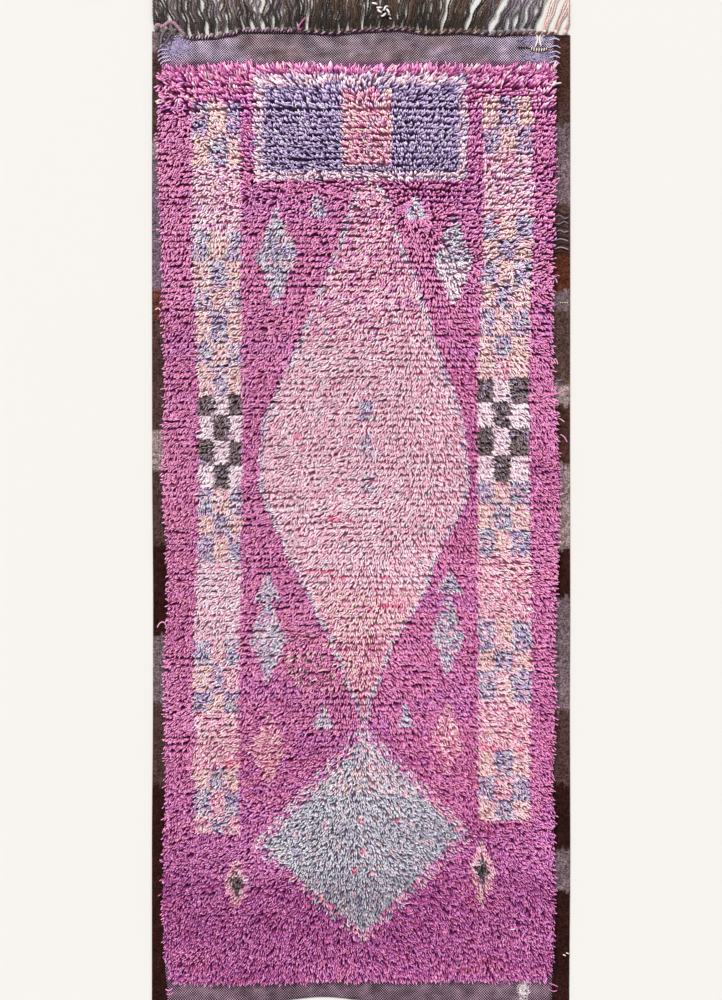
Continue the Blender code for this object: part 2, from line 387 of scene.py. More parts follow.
# Columns: y_low, cells
LADDER_LEFT_TOP = 0.961
LADDER_LEFT = (
    (0.876, "DCD"),
    (0.806, "CBC"),
    (0.641, "MMM"),
    (0.566, "BCB"),
    (0.496, "CBC"),
    (0.446, "BCB"),
    (0.359, "CBC"),
    (0.309, "BCB"),
    (0.234, "CBC"),
    (0.184, "KLK"),
    (0.121, "LKL"),
    (0.061, "KLK"),
    (0.004, "LKL"),
    (-0.066, "BCB"),
    (-0.116, "CBC"),
    (-0.179, "BCB"),
    (-0.379, "WWW"),
    (-0.441, "BPB"),
    (-0.504, "CBP"),
    (-0.554, "BCB"),
    (-0.704, "PPP"),
    (-0.754, "CBC"),
    (-0.816, "BPB"),
    (-0.861, "PBP"),
)
LADDER_RIGHT_TOP = 0.976
LADDER_RIGHT = (
    (0.901, "CDC"),
    (0.834, "DCD"),
    (0.684, "MMM"),
    (0.621, "BCB"),
    (0.566, "CBC"),
    (0.509, "BCB"),
    (0.446, "CBC"),
    (0.384, "BCB"),
    (0.326, "CBC"),
    (0.271, "CPC"),
    (0.216, "KLK"),
    (0.151, "LKL"),
    (0.081, "KLK"),
    (0.016, "LKL"),
    (-0.041, "BCB"),
    (-0.104, "CBC"),
    (-0.166, "BCB"),
    (-0.329, "PPP"),
    (-0.404, "BCB"),
    (-0.454, "CBC"),
    (-0.529, "BCB"),
    (-0.654, "PPP"),
    (-0.719, "CBC"),
    (-0.776, "BPB"),
    (-0.829, "CBC"),
)

# The share of each yarn that a cell of the ladders, or a motif, is mixed from
MIXES = {
    "B": (("lilac", 0.45), ("blue", 0.28), ("white", 0.15), ("pink", 0.12)),
    "C": (("cream", 0.64), ("white", 0.20), ("pink", 0.16)),
    "W": (("white", 0.78), ("pink", 0.22)),
    "M": (("white", 0.46), ("pink", 0.42), ("orchid", 0.12)),
    "P": (("pink", 0.56), ("white", 0.14), ("cream", 0.16), ("rose", 0.14)),
    "K": (("brown", 0.94), ("lilac", 0.06)),
    "lozenge": (("pink", 0.56), ("white", 0.42), ("blue", 0.02)),
    "lozenge_top": (("pink", 0.57), ("white", 0.05), ("rose", 0.18), ("orchid", 0.20)),
    "warm": (("pink", 0.58), ("cream", 0.26), ("white", 0.06), ("rose", 0.10)),
    "rosy": (("pink", 0.40), ("cream", 0.19), ("rose", 0.41)),
    "outline": (("blue", 0.46), ("lilac", 0.20), ("white", 0.34)),
    "panel": (("lilac", 0.97), ("blue", 0.03)),
    "panel_frame": (("white", 0.62), ("bright", 0.22), ("lilac", 0.16)),
    "panel_column": (("pink", 0.50), ("cream", 0.22), ("rose", 0.18), ("lilac", 0.10)),
    "L": (("bright", 0.9), ("white", 0.1)),
    "D": (("lilac", 0.74), ("blue", 0.06), ("pink", 0.20)),
    "lavender": (("lilac", 0.32), ("blue", 0.42), ("white", 0.18), ("pink", 0.08)),
    "pale": (("blue", 0.28), ("white", 0.42), ("bright", 0.30)),
    "misty": (("blue", 0.52), ("white", 0.16), ("pink", 0.10), ("orchid", 0.10), ("lilac", 0.12)),
    "diamond": (("blue", 0.88), ("white", 0.06), ("lilac", 0.04), ("cream", 0.02)),
    "diamond_top": (("blue", 0.54), ("white", 0.26), ("cream", 0.10), ("pink", 0.06), ("lilac", 0.04)),
    "diamond_edge": (("pink", 0.18), ("white", 0.19), ("orchid", 0.43), ("blue", 0.17), ("hot_pink", 0.03)),
    "fleck": (("hot_pink", 0.3), ("pink", 0.7)),
    "streak": (("hot_pink", 0.6), ("pink", 0.4)),
    "magenta": (("magenta", 0.70), ("orchid", 0.12), ("rose", 0.18)),
    "crest": (("magenta", 0.76), ("orchid", 0.10), ("pink", 0.08), ("white", 0.06)),
    "violet": (("magenta", 0.45), ("orchid", 0.55)),
    "reddish": (("magenta", 0.58), ("rose", 0.42)),
    "olive": (("magenta", 0.42), ("rose", 0.40), ("cream", 0.10), ("brown", 0.08)),
}

# The big pink lozenge: its left and right edges down the rug
# Columns: y, left, right
LOZENGE = (
    (-0.584, 0.010, 0.010),
    (-0.529, -0.012, 0.022),
    (-0.479, -0.035, 0.042),
    (-0.379, -0.070, 0.078),
    (-0.279, -0.123, 0.146),
    (-0.179, -0.175, 0.182),
    (-0.079, -0.217, 0.234),
    (-0.029, -0.240, 0.258),
    (0.021, -0.248, 0.265),
    (0.171, -0.240, 0.250),
    (0.246, -0.205, 0.226),
    (0.346, -0.160, 0.186),
    (0.471, -0.110, 0.150),
    (0.566, -0.068, 0.113),
    (0.634, -0.042, 0.085),
    (0.709, -0.020, 0.068),
    (0.746, -0.010, 0.050),
    (0.768, 0.020, 0.020),
)

# Small lozenges: middle, half width, highest and lowest point
# Columns: x, half, high, low, upper_mix, lower_mix
SMALL_LOZENGES = (
    (-0.210, 0.052, 0.706, 0.454, "lavender", "lavender"),
    (0.230, 0.050, 0.682, 0.448, "lavender", "pale"),
    (-0.232, 0.048, -0.272, -0.484, "misty", "misty"),
    (0.215, 0.042, -0.262, -0.472, "misty", "misty"),
    (-0.232, 0.047, -0.556, -0.746, "rosy", "rosy"),
    (0.215, 0.040, -0.528, -0.722, "rosy", "rosy"),
    (-0.310, 0.032, -0.912, -1.058, "P", "P"),
    (0.302, 0.037, -0.868, -1.046, "P", "P"),
)
EYES = (
    (-0.310, 0.014, -0.952, -1.022, "K", "K"),
    (0.302, 0.018, -0.916, -0.992, "K", "K"),
)

# Small triangles, apex up: middle, half the base, apex and base
# Columns: x, half, apex, base, mix
TRIANGLES = (
    (-0.108, 0.029, 0.742, 0.676, "lavender"),
    (0.135, 0.029, 0.738, 0.671, "lavender"),
    (-0.232, 0.033, -0.206, -0.281, "lavender"),
    (0.222, 0.035, -0.196, -0.261, "lavender"),
    (-0.095, 0.026, -0.531, -0.596, "lavender"),
    (0.110, 0.024, -0.534, -0.599, "lavender"),
)

# The blue diamond and the width of its border
DIAMOND_TOP = (0.005, -0.584)
DIAMOND_LEFT = (-0.279, -0.893)
DIAMOND_RIGHT = (0.286, -0.863)
DIAMOND_FOOT = (0.005, -1.140)
DIAMOND_BORDER = 0.026
DIAMOND_TOP_LIGHT = -0.765

# Short marks and streaks: x and y of the middle, half width and half height
# Columns: x, y, half_x, half_y, mix
MARKS = (
    (0.012, 0.195, 0.014, 0.023, "lavender"),
    (0.014, 0.105, 0.011, 0.030, "lavender"),
    (0.014, 0.012, 0.011, 0.022, "lavender"),
    (-0.050, -0.078, 0.030, 0.005, "streak"),
    (-0.100, -0.205, 0.030, 0.005, "streak"),
    (-0.055, -0.222, 0.018, 0.005, "streak"),
    (0.060, -0.222, 0.012, 0.004, "streak"),
    (0.075, -0.290, 0.034, 0.006, "streak"),
    (-0.158, 0.128, 0.010, 0.005, "streak"),
    (-0.085, 0.232, 0.012, 0.005, "streak"),
    (-0.235, -0.690, 0.013, 0.006, "streak"),
    (-0.325, -0.690, 0.014, 0.008, "streak"),
    (0.318, -0.648, 0.012, 0.005, "streak"),
    (0.395, -0.650, 0.012, 0.005, "streak"),
    (0.335, 0.668, 0.014, 0.005, "streak"),
    (-0.090, -0.838, 0.006, 0.006, "fleck"),
    (0.092, -0.834, 0.006, 0.006, "fleck"),
    (0.002, -0.829, 0.006, 0.006, "fleck"),
    (0.005, -0.904, 0.006, 0.006, "fleck"),
    (-0.015, -0.954, 0.006, 0.006, "fleck"),
    (0.028, -0.959, 0.006, 0.006, "fleck"),
)

PANEL_FRAME = (-0.266, 0.266, 0.768, 1.036)
PANEL_FILL = (-0.245, 0.246, 0.790, 1.008)
PANEL_COLUMN = (-0.046, 0.076, 0.804, 0.998)

# The ladders' lines down the rug, which wander a little
# Columns: y, first, second, third, fourth
LADDER_LEFT_LINES = (
    (-0.90, -0.4175, -0.375, -0.339, -0.304),
    (-0.38, -0.4175, -0.375, -0.339, -0.304),
    (-0.15, -0.405, -0.3675, -0.330, -0.2975),
    (0.25, -0.405, -0.3675, -0.330, -0.2975),
    (0.60, -0.421, -0.379, -0.336, -0.300),
    (1.00, -0.421, -0.379, -0.336, -0.300),
)
LADDER_RIGHT_LINES = (
    (-0.90, 0.2925, 0.335, 0.378, 0.420),
    (-0.35, 0.2925, 0.335, 0.378, 0.425),
    (0.00, 0.291, 0.331, 0.372, 0.420),
    (0.30, 0.291, 0.330, 0.370, 0.4175),
    (0.60, 0.306, 0.3435, 0.3875, 0.4275),
    (1.00, 0.306, 0.3435, 0.3875, 0.4275),
)

# The lozenge's outline, outside and inside its edge, and where its colours change
OUTLINE_OUTSIDE = 0.006
OUTLINE_INSIDE = 0.003
WARM_ABOVE = 0.50
WARM_BELOW = -0.25
ROSY_BELOW = -0.37
LOZENGE_TOP_ABOVE = 0.42
LOZENGE_TOP_MINGLES = 0.10

# Where the field's dye drifts to another: how far it has to drift, and how much nearer both ends are to it
VIOLET_FROM = 0.62
VIOLET_AT_ENDS = 1.5
REDDISH_FROM = -0.50
REDDISH_AT_ENDS = 1.2
CREST_ABOVE = 0.955
CREST_FROM = -0.15
BROWNISH_MIDDLE = (-0.11, -0.44)
BROWNISH_HALF = (0.13, 0.09)
BROWNISH_DRIFT = 0.6
DYE_RIPPLE = 0.5


class Chart:
    """The design as one mix number for each knot. A later mark covers an earlier one."""

    def __init__(self, x, y):
        self.x = x
        self.y = y
        self.mix = np.full(len(x), list(MIXES).index("magenta"))

    def fill(self, inside, mix):
        self.mix[inside] = list(MIXES).index(mix)

    def box(self, box, mix):
        left, right, low, high = box
        self.fill((self.x > left) & (self.x < right) & (self.y > low) & (self.y < high), mix)

    def ladder(self, table, top, cells_of_rows):
        ys, *places = zip(*table)
        lines = [np.interp(self.y, ys, place) for place in places]
        high = top
        for low, cells in cells_of_rows:
            for left, right, cell in zip(lines, lines[1:], cells):
                self.box((left, right, low, high), cell)
            high = low

    def lozenge(self, x, half, high, low, upper_mix, lower_mix):
        middle = (high + low) / 2
        reach = abs(self.x - x) / half + abs(self.y - middle) / ((high - low) / 2)
        self.fill((reach < 1) & (self.y >= middle), upper_mix)
        self.fill((reach < 1) & (self.y < middle), lower_mix)

    def triangle(self, x, half, apex, base, mix):
        down = (apex - self.y) / (apex - base)
        self.fill((down > 0) & (down < 1) & (abs(self.x - x) < half * down), mix)

    def big_lozenge(self):
        ys, lefts, rights = zip(*LOZENGE)
        left, right = np.interp(self.y, ys, lefts), np.interp(self.y, ys, rights)
        within = np.minimum(self.x - left, right - self.x)
        within = np.where((self.y > ys[0]) & (self.y < ys[-1]), within, -1.0)
        self.fill(within > -OUTLINE_OUTSIDE, "outline")
        inner = within > OUTLINE_INSIDE
        self.fill(inner, "lozenge")
        self.fill(inner & ((self.y > WARM_ABOVE) | (self.y < WARM_BELOW)), "warm")
        mingled = self.y + LOZENGE_TOP_MINGLES * soft_noise("mingling", self.x, self.y)
        self.fill(inner & (mingled > LOZENGE_TOP_ABOVE), "lozenge_top")
        self.fill(inner & (self.y < ROSY_BELOW), "rosy")

    def diamond(self):
        """Two edges to the left and two to the right, with a border of even width inside them."""
        inside = np.full(len(self.x), np.inf)
        corners = (DIAMOND_TOP, DIAMOND_LEFT, DIAMOND_FOOT, DIAMOND_RIGHT)
        for (ax, ay), (bx, by) in zip(corners, corners[1:] + corners[:1]):
            length = math.hypot(bx - ax, by - ay)
            depth = ((bx - ax) * (self.y - ay) - (by - ay) * (self.x - ax)) / length
            inside = np.minimum(inside, depth)
        self.fill(inside > 0, "diamond_edge")
        self.fill(inside > DIAMOND_BORDER, "diamond")
        self.fill((inside > DIAMOND_BORDER) & (self.y > DIAMOND_TOP_LIGHT), "diamond_top")

    def drift_of_dye(self):
        """The field's dye drifts: violet at both ends, redder in places, brownish above the diamond."""
        field = self.mix == list(MIXES).index("magenta")
        drift = soft_noise("dye_drift", self.x, self.y)
        drift = drift + DYE_RIPPLE * soft_noise("dye_ripple", self.x, self.y)
        ends = measure("violet_ends", self.y)
        self.fill(field & (drift + VIOLET_AT_ENDS * ends > VIOLET_FROM), "violet")
        self.fill(field & (drift + REDDISH_AT_ENDS * ends < REDDISH_FROM), "reddish")
        self.fill(field & (self.y > CREST_ABOVE) & (drift > CREST_FROM), "crest")
        away_x = (self.x - BROWNISH_MIDDLE[0]) / BROWNISH_HALF[0]
        away_y = (self.y - BROWNISH_MIDDLE[1]) / BROWNISH_HALF[1]
        self.fill(field & (away_x**2 + away_y**2 + BROWNISH_DRIFT * drift < 1), "olive")


def draw_design(x, y):
    """The mix of each knot at x, y."""
    chart = Chart(x, y)
    chart.box(PANEL_FRAME, "panel_frame")
    chart.box(PANEL_FILL, "panel")
    chart.box(PANEL_COLUMN, "panel_column")
    chart.ladder(LADDER_LEFT_LINES, LADDER_LEFT_TOP, LADDER_LEFT)
    chart.ladder(LADDER_RIGHT_LINES, LADDER_RIGHT_TOP, LADDER_RIGHT)
    chart.big_lozenge()
    chart.diamond()
    for row in SMALL_LOZENGES + EYES:
        chart.lozenge(*row)
    for row in TRIANGLES:
        chart.triangle(*row)
    for mark_x, mark_y, half_x, half_y, mix in MARKS:
        chart.box((mark_x - half_x, mark_x + half_x, mark_y - half_y, mark_y + half_y), mix)
    chart.drift_of_dye()
    return chart.mix


def pick_yarns(mix, rng):
    """A yarn for each knot, drawn from its mix."""
    names = list(YARNS)
    draw = rng.uniform(0, 1, len(mix))
    yarn = np.zeros(len(mix), int)
    for k, parts in enumerate(MIXES.values()):
        here = mix == k
        low = 0.0
        for name, share in parts:
            yarn[here & (draw >= low) & (draw < low + share + 1e-9)] = names.index(name)
            low += share
    return yarn


def turn_line(x):
    return value_at(TURN, x)


def turning(x, y):
    """From 0 to 1, how much the tufts at a place stand and splay because the nap turns there."""
    return np.exp(-(((y - turn_line(x)) / TURN_WIDTH) ** 2))


def nap_at(x, y):
    """The nap's direction at a place, in radians from straight down, and how flat it lies, up to 1."""
    up = NAP_DOWN * np.tanh((y - turn_line(x)) / TURN_SOFTNESS)
    aside = NAP_ASIDE * np.tanh((x - value_at(SHED, y)) / SHED_SOFTNESS) * measure("aside", y)
    aside = aside * measure("aside_first_rows", y) * measure("aside_last_rows", y)
    swirl = np.radians(SWIRL * soft_noise("swirl", x, y) + WIDE_SWIRL * soft_noise("wide_swirl", x, y))
    return np.arctan2(aside, -up) + swirl, np.hypot(aside, up)


def parting_at(x, y):
    """How far rows lie apart at a place, from 0 to 1."""
    found = np.clip(soft_noise("parting", x, y) - SMALL_PARTING_FROM, 0, 1) * measure("small_partings", y)
    for at, slope, x_from, x_to, depth in PARTINGS:
        along = smooth((x - x_from) / PARTING_TAPER) * smooth((x_to - x) / PARTING_TAPER)
        line = at + slope * (x - (x_from + x_to) / 2) + PARTING_WANDER * soft_noise("parting_line", x, y)
        found = np.maximum(found, depth * along * (np.abs(y - line) < PARTING_HALF))
    return found


def down_the_pile(y):
    """The share of the pile that lies above a place."""
    return (PILE_HIGH - y) / (PILE_HIGH - PILE_LOW)


def rows_down_the_rug():
    """Each row of knots: its root line, its tufts' reach, its knot pitch, its courses and their step."""
    rows = [(y, reach, CREST_KNOT_PITCH, courses, step) for y, reach, courses, step in CREST]
    y = CREST[-1][0] - ROW_PITCH
    while y > PILE_LOW:
        down = down_the_pile(y)
        reach = TUFT_REACH * float(measure("row_reach", y))
        knot_pitch = float(measure("knot_pitch", down))
        rows.append((y, reach, knot_pitch, 2, -value_at(SECOND_COURSE, down) * ROW_PITCH))
        y -= ROW_PITCH
    return rows


# How far a knot strays along its row, in knot pitches, and how far its row wanders
KNOT_ASIDE = 0.18
ROW_WANDER = 0.0034


def lay_knots():
    """The place of each knot, row by row down the rug: x, y, reach and knot pitch, as arrays."""
    rng = np.random.default_rng(21)
    knots = []
    for y, reach, knot_pitch, courses, step in rows_down_the_rug():
        down = down_the_pile(y)
        inset = EDGE_INSET + measure("lower_corner", y)
        left, right = float(field_left(y)) + inset, float(field_right(y)) - inset
        count = round((right - left) / knot_pitch)
        loose = measure("loose_row", down) + LOOSER_DOWN * down
        for n in range(courses):
            x = left + (np.arange(count) + 0.25 + 0.5 * (n % 2)) * (right - left) / count
            x = x + rng.normal(0, KNOT_ASIDE, count) * knot_pitch
            line = y + n * step + PILE_LOW_SLOPE * (x / (right - left)) * down
            line = line + ROW_WANDER * soft_noise("row", x, y)
            line = line + measure("wide_row", down) * soft_noise("wide_row", x, y)
            line = line + rng.normal(0, 1, count) * (loose + LOOSER_AT_TURN * turning(x, line))
            knots.append(np.stack([x, line, np.full(count, reach), np.full(count, knot_pitch)]))
    for middle_x, half_x, count in STANDING:
        x = rng.uniform(middle_x - half_x, middle_x + half_x, count)
        line = turn_line(x) + rng.normal(0, STANDING_SPREAD, count)
        knots.append(np.stack([x, line, np.full(count, TUFT_REACH), np.full(count, KNOT_PITCH_HIGH)]))
    return np.concatenate(knots, axis=1)


# How much the tufts differ from knot to knot. Leans are in degrees, and the rest are shares.
KNOT_LEAN = 11
KNOT_LEAN_AT_TURN = 3.2
KNOT_REACH = 0.10
KNOT_HEIGHT = 0.11
KNOT_FADE = 0.14
BEND_DRIFT = 0.15
HEIGHT_DRIFT = 0.10
FADE_DRIFT = 0.16
FADE_STREAKS = 0.14

# How much they differ from ply to ply. Roots and heights are in metres.
PLY_LEAN = 7
PLY_SPLAY = 0.08
PLY_ASIDE = 0.25
PLY_ROOT = 0.0010
PLY_REACH = 0.12
PLY_WIDTH = 0.54
PLY_WIDTH_SPREAD = 0.07
PLY_HEIGHT = 0.0009
PLY_BEND = 0.11
PLY_FADE = 0.20

# Tufts reach less at the field's edges, in partings and where they stand, and those that stand are made
# paler, as painted light against the shade where the nap turns
EDGE_REACH = 0.88
EDGE_WIDTH = 0.03
PARTING_REACH = 0.48
LEAST_FLAT = 0.6
FLAT_POWER = 0.4
STANDING_PAINTED_LIGHT = 0.35
MOST_STANDING = 0.4
STEEPEST_SPACING = 0.75

# The design is read at the middle of a tuft, and its edges are a little ragged
TUFT_MIDDLE = 0.55
RAGGED = 0.0022


class Plies:
    """All plies of cut yarn in the pile, as arrays with one value for each."""

    def __init__(self):
        rng = np.random.default_rng(22)
        x, y, row_reach, knot_pitch = lay_knots()
        knots = len(x)
        lean, flat = nap_at(x, y)
        down = down_the_pile(y)
        unruly = measure("unruly", down) - measure("calm_crest", y) + KNOT_LEAN_AT_TURN * turning(x, y)
        lean = lean + np.radians(rng.normal(0, KNOT_LEAN, knots)) * unruly
        inside = smooth((x - field_left(y)) / EDGE_WIDTH) * smooth((field_right(y) - x) / EDGE_WIDTH)
        reach = row_reach * np.maximum(flat, LEAST_FLAT) ** FLAT_POWER
        reach = reach * (EDGE_REACH + (1 - EDGE_REACH) * inside)
        reach = reach * (1 - PARTING_REACH * parting_at(x, y)) * rng.normal(1, KNOT_REACH, knots)
        bend = rng.normal(0, 1, knots) * measure("curl", down) + BEND_DRIFT * soft_noise("bend", x, y)
        lumps = HEIGHT_DRIFT * soft_noise("lumps", x, y) + rng.normal(0, KNOT_HEIGHT, knots)
        height = TUFT_HEIGHT * (1 + measure("lumpy", down) * lumps)
        middle_x = x + TUFT_MIDDLE * reach * np.sin(lean)
        middle_y = y - TUFT_MIDDLE * reach * np.cos(lean)
        ragged_x = middle_x + RAGGED * soft_noise("ragged_x", middle_x, middle_y)
        ragged_y = middle_y + RAGGED * soft_noise("ragged_y", middle_x, middle_y)
        yarn = pick_yarns(draw_design(ragged_x, ragged_y), rng)
        fade = measure("fade", middle_y) + measure("crest_fade", middle_y)
        fade = fade + measure("fade_sides", np.abs(middle_x)) + rng.normal(0, KNOT_FADE, knots)
        fade = fade + FADE_DRIFT * soft_noise("fade", middle_x, middle_y)
        fade = fade + FADE_STREAKS * soft_noise("fade_streak", middle_x, middle_y)
        # Painted light: tufts where the nap stands are made paler, against the shade that falls where it
        # turns
        fade = fade + STANDING_PAINTED_LIGHT * np.clip(1 - flat, 0, MOST_STANDING)

        count = knots * PLIES
        place = np.tile(np.linspace(-1, 1, PLIES), knots)
        spacing = np.repeat(knot_pitch, PLIES) / PLIES
        lean = np.repeat(lean, PLIES)
        self.lean = lean + np.radians(rng.normal(0, PLY_LEAN, count)) + PLY_SPLAY * place
        offset = place * (PLIES - 1) / 2 * spacing + rng.normal(0, PLY_ASIDE, count) * spacing
        across = 1 / np.maximum(np.abs(np.cos(lean)), STEEPEST_SPACING)
        self.x = np.repeat(x, PLIES) + offset * across
        self.y = np.repeat(y, PLIES) + rng.normal(0, PLY_ROOT, count)
        self.reach = np.repeat(reach, PLIES) * rng.normal(1, PLY_REACH, count)
        width = rng.normal(PLY_WIDTH, PLY_WIDTH_SPREAD, count)
        self.half_width = spacing * width * np.repeat(measure("fat", y), PLIES)
        self.height = np.repeat(height, PLIES) + rng.normal(0, PLY_HEIGHT, count)
        self.bend = np.repeat(bend, PLIES) + rng.normal(0, PLY_BEND, count)
        self.yarn = np.repeat(yarn, PLIES)
        self.shade = np.clip(np.repeat(fade, PLIES) + rng.normal(0, PLY_FADE, count), 0, 0.999)

    def rings(self, chosen):
        """The corners of the chosen plies: (plies, rings, 3, 3)."""
        along, rise, width = np.array(PLY_RINGS).T[:, None]
        measures = (self.x, self.y, self.lean, self.reach, self.bend, self.half_width, self.height)
        x, y, lean, reach, bend, half, height = (values[chosen][:, None] for values in measures)
        half = half * width
        down_x, down_y = np.sin(lean), -np.cos(lean)
        side_x, side_y = -down_y, down_x
        sideways = reach * bend * along**2
        x = x + down_x * reach * along + side_x * sideways
        y = y + down_y * reach * along + side_y * sideways
        z = FLOOR_OF_PILE + height * rise
        corners = []
        for across, up in PLY_CORNERS:
            aside = half * across
            corners.append(np.stack([x + side_x * aside, y + side_y * aside, z + half * up], -1))
        return np.stack(corners, 2)


def ply_mesh(name, rings, shades, along):
    """Plies of cut yarn in one mesh, two long faces each. Their undersides lie in the pile's foot."""
    count, steps = rings.shape[:2]
    first = np.arange(count)[:, None, None] * steps * 3
    ring, side = np.meshgrid(np.arange(steps - 1), np.arange(2), indexing="ij")
    low, high = ring * 3 + side, (ring + 1) * 3 + side
    quads = np.stack([low, low + 1, high + 1, high], -1).reshape(1, -1, 4) + first
    wall_u = np.stack([side, side + 1, side + 1, side], -1).reshape(1, -1, 4) / 2
    wall_v = along[np.stack([ring, ring, ring + 1, ring + 1], -1)].reshape(1, -1, 4)
    shade = shades[:, None, None]
    wall = np.stack([shade_strip(shade, wall_u), np.broadcast_to(wall_v, (count,) + wall_v.shape[1:])], -1)
    return add_mesh(name, rings.reshape(-1, 3), [quads.reshape(-1, 4)], wall.reshape(-1, 2))


class Material:
    """A new material, with short calls that add nodes to it and link them."""

    def __init__(self, name, roughness, specular):
        self.made = bpy.data.materials.new(name)
        self.made.use_nodes = True
        self.tree = self.made.node_tree
        self.shader = self.tree.nodes["Principled BSDF"]
        self.put(self.shader, {"Roughness": roughness, "Specular IOR Level": specular})

    def put(self, node, values):
        """Sets a node's sockets, each to a number, a colour or the output of another node."""
        for key, value in values.items():
            if isinstance(value, bpy.types.NodeSocket):
                self.tree.links.new(value, node.inputs[key])
            else:
                node.inputs[key].default_value = value

    def add(self, kind, values, **settings):
        """A new node. Its settings come first, because they decide which sockets it has."""
        node = self.tree.nodes.new("ShaderNode" + kind)
        for key, value in settings.items():
            setattr(node, key, value)
        self.put(node, values)
        return node

    def math(self, operation, *values, clamp=False):
        """The result of a Math node on numbers or sockets."""
        return self.add("Math", dict(enumerate(values)), operation=operation, use_clamp=clamp).outputs[0]

    def remap(self, value, span, to=(0.0, 1.0), interpolation="LINEAR", clamp=True):
        """A value within one span, taken to the same place in another."""
        ends = {"From Min": span[0], "From Max": span[1], "To Min": to[0], "To Max": to[1]}
        node = self.add("MapRange", ends, interpolation_type=interpolation, clamp=clamp)
        self.put(node, {"Value": value})
        return node.outputs["Result"]

    def stretched(self, place, scale):
        return self.add("Mapping", {"Vector": place, "Scale": scale}).outputs["Vector"]

    def noise(self, place, scale, detail=2.0):
        return self.add("TexNoise", {"Vector": place, "Scale": scale, "Detail": detail}).outputs["Fac"]

    def of_mesh(self, layer):
        """A colour that comes with the mesh."""
        return self.add("Attribute", {}, attribute_name=layer).outputs["Color"]

    def colour(self, value):
        self.put(self.shader, {"Base Color": value})

    def bump(self, height, strength, distance):
        node = self.add("Bump", {"Height": height, "Strength": strength, "Distance": distance})
        self.put(self.shader, {"Normal": node.outputs["Normal"]})


# The matted foot of the pile: the size of its cells, how high it stands, its lumps, how far it runs past
# the first and last rows, and how far it stays inside the field's edges
BED_CELL = 0.0100
BED_COLUMNS = 98
BED_HEIGHT = 0.0052
BED_LUMPS = 0.0018
BED_ABOVE = 0.014
BED_BELOW = 0.002
BED_INSET = 0.0012
BED_SHADES = (0.7, 1.3)


def make_bed():
    """The matted foot of the pile, in the dye of the yarns above it, darkened as painted shade where it
    shows between them.
    """
    rng = np.random.default_rng(23)
    ys = np.arange(PILE_LOW - BED_BELOW, PILE_HIGH + BED_ABOVE, BED_CELL)
    share = np.linspace(0, 1, BED_COLUMNS)[None]
    inset = BED_INSET + measure("lower_corner", ys)
    left, right = (field_left(ys) + inset)[:, None], (field_right(ys) - inset)[:, None]
    x = left + (right - left) * share
    y = np.broadcast_to(ys[:, None], x.shape)
    z = FLOOR_OF_PILE + BED_HEIGHT + BED_LUMPS * rng.uniform(-1, 1, x.shape)
    rim = np.zeros(x.shape, bool)
    rim[0] = rim[-1] = rim[:, 0] = rim[:, -1] = True
    z[rim] = FLOOR_OF_PILE
    rows, columns = x.shape
    at = np.arange(rows * columns).reshape(rows, columns)
    quads = np.stack([at[:-1, :-1], at[:-1, 1:], at[1:, 1:], at[1:, :-1]], -1).reshape(-1, 4)
    piece = add_mesh("pile_foot", np.stack([x, y, z], -1).reshape(-1, 3), [quads])
    yarn = pick_yarns(draw_design(x.ravel(), y.ravel()), rng)
    # The foot colours, darkened below each yarn's dye as painted shade in the gaps, go to the mesh as its
    # dye layer
    foot = np.array([linear(row[0])[:3] for row in YARNS.values()])
    dye = foot[yarn] * rng.uniform(*BED_SHADES, len(yarn))[:, None]
    paint(piece, "dye", lambda px, py: dye)
    piece.data.materials.append(felt_material())
    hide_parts("pile_field")
    return piece


FELT_SCALE = 400.0


def felt_material():
    """Matted wool. Its colour comes with the mesh: the yarns' dye, darkened as painted shade."""
    felt = Material("matted_wool", roughness=0.9, specular=0.2)
    felt.colour(felt.of_mesh("dye"))
    mats = felt.add("TexNoise", {"Scale": FELT_SCALE})
    felt.bump(mats.outputs["Fac"], strength=0.6, distance=0.0010)
    return felt.made


# Dyed wool: where it fades along a strand, how much a strand's own shade adds, where painted shade darkens
# its flanks, the painted highlight along its top, its fibres, how much painted shade darkens its root and
# where its body has its full dye
FADE_ALONG = (0.05, 0.85)
OWN_SHADE = (0.50, 1.30)
PAINTED_FLANK_SPAN = (0.12, 0.42)
PAINTED_RIDGE_HIGHLIGHT = 1.15
FIBRE_STRETCH = (SHADES * 3.5, 2.2, 1.0)
FIBRE_CONTRAST = 1.1
ROOT_PAINTED_SHADE = 0.55
BODY_AT = 0.35


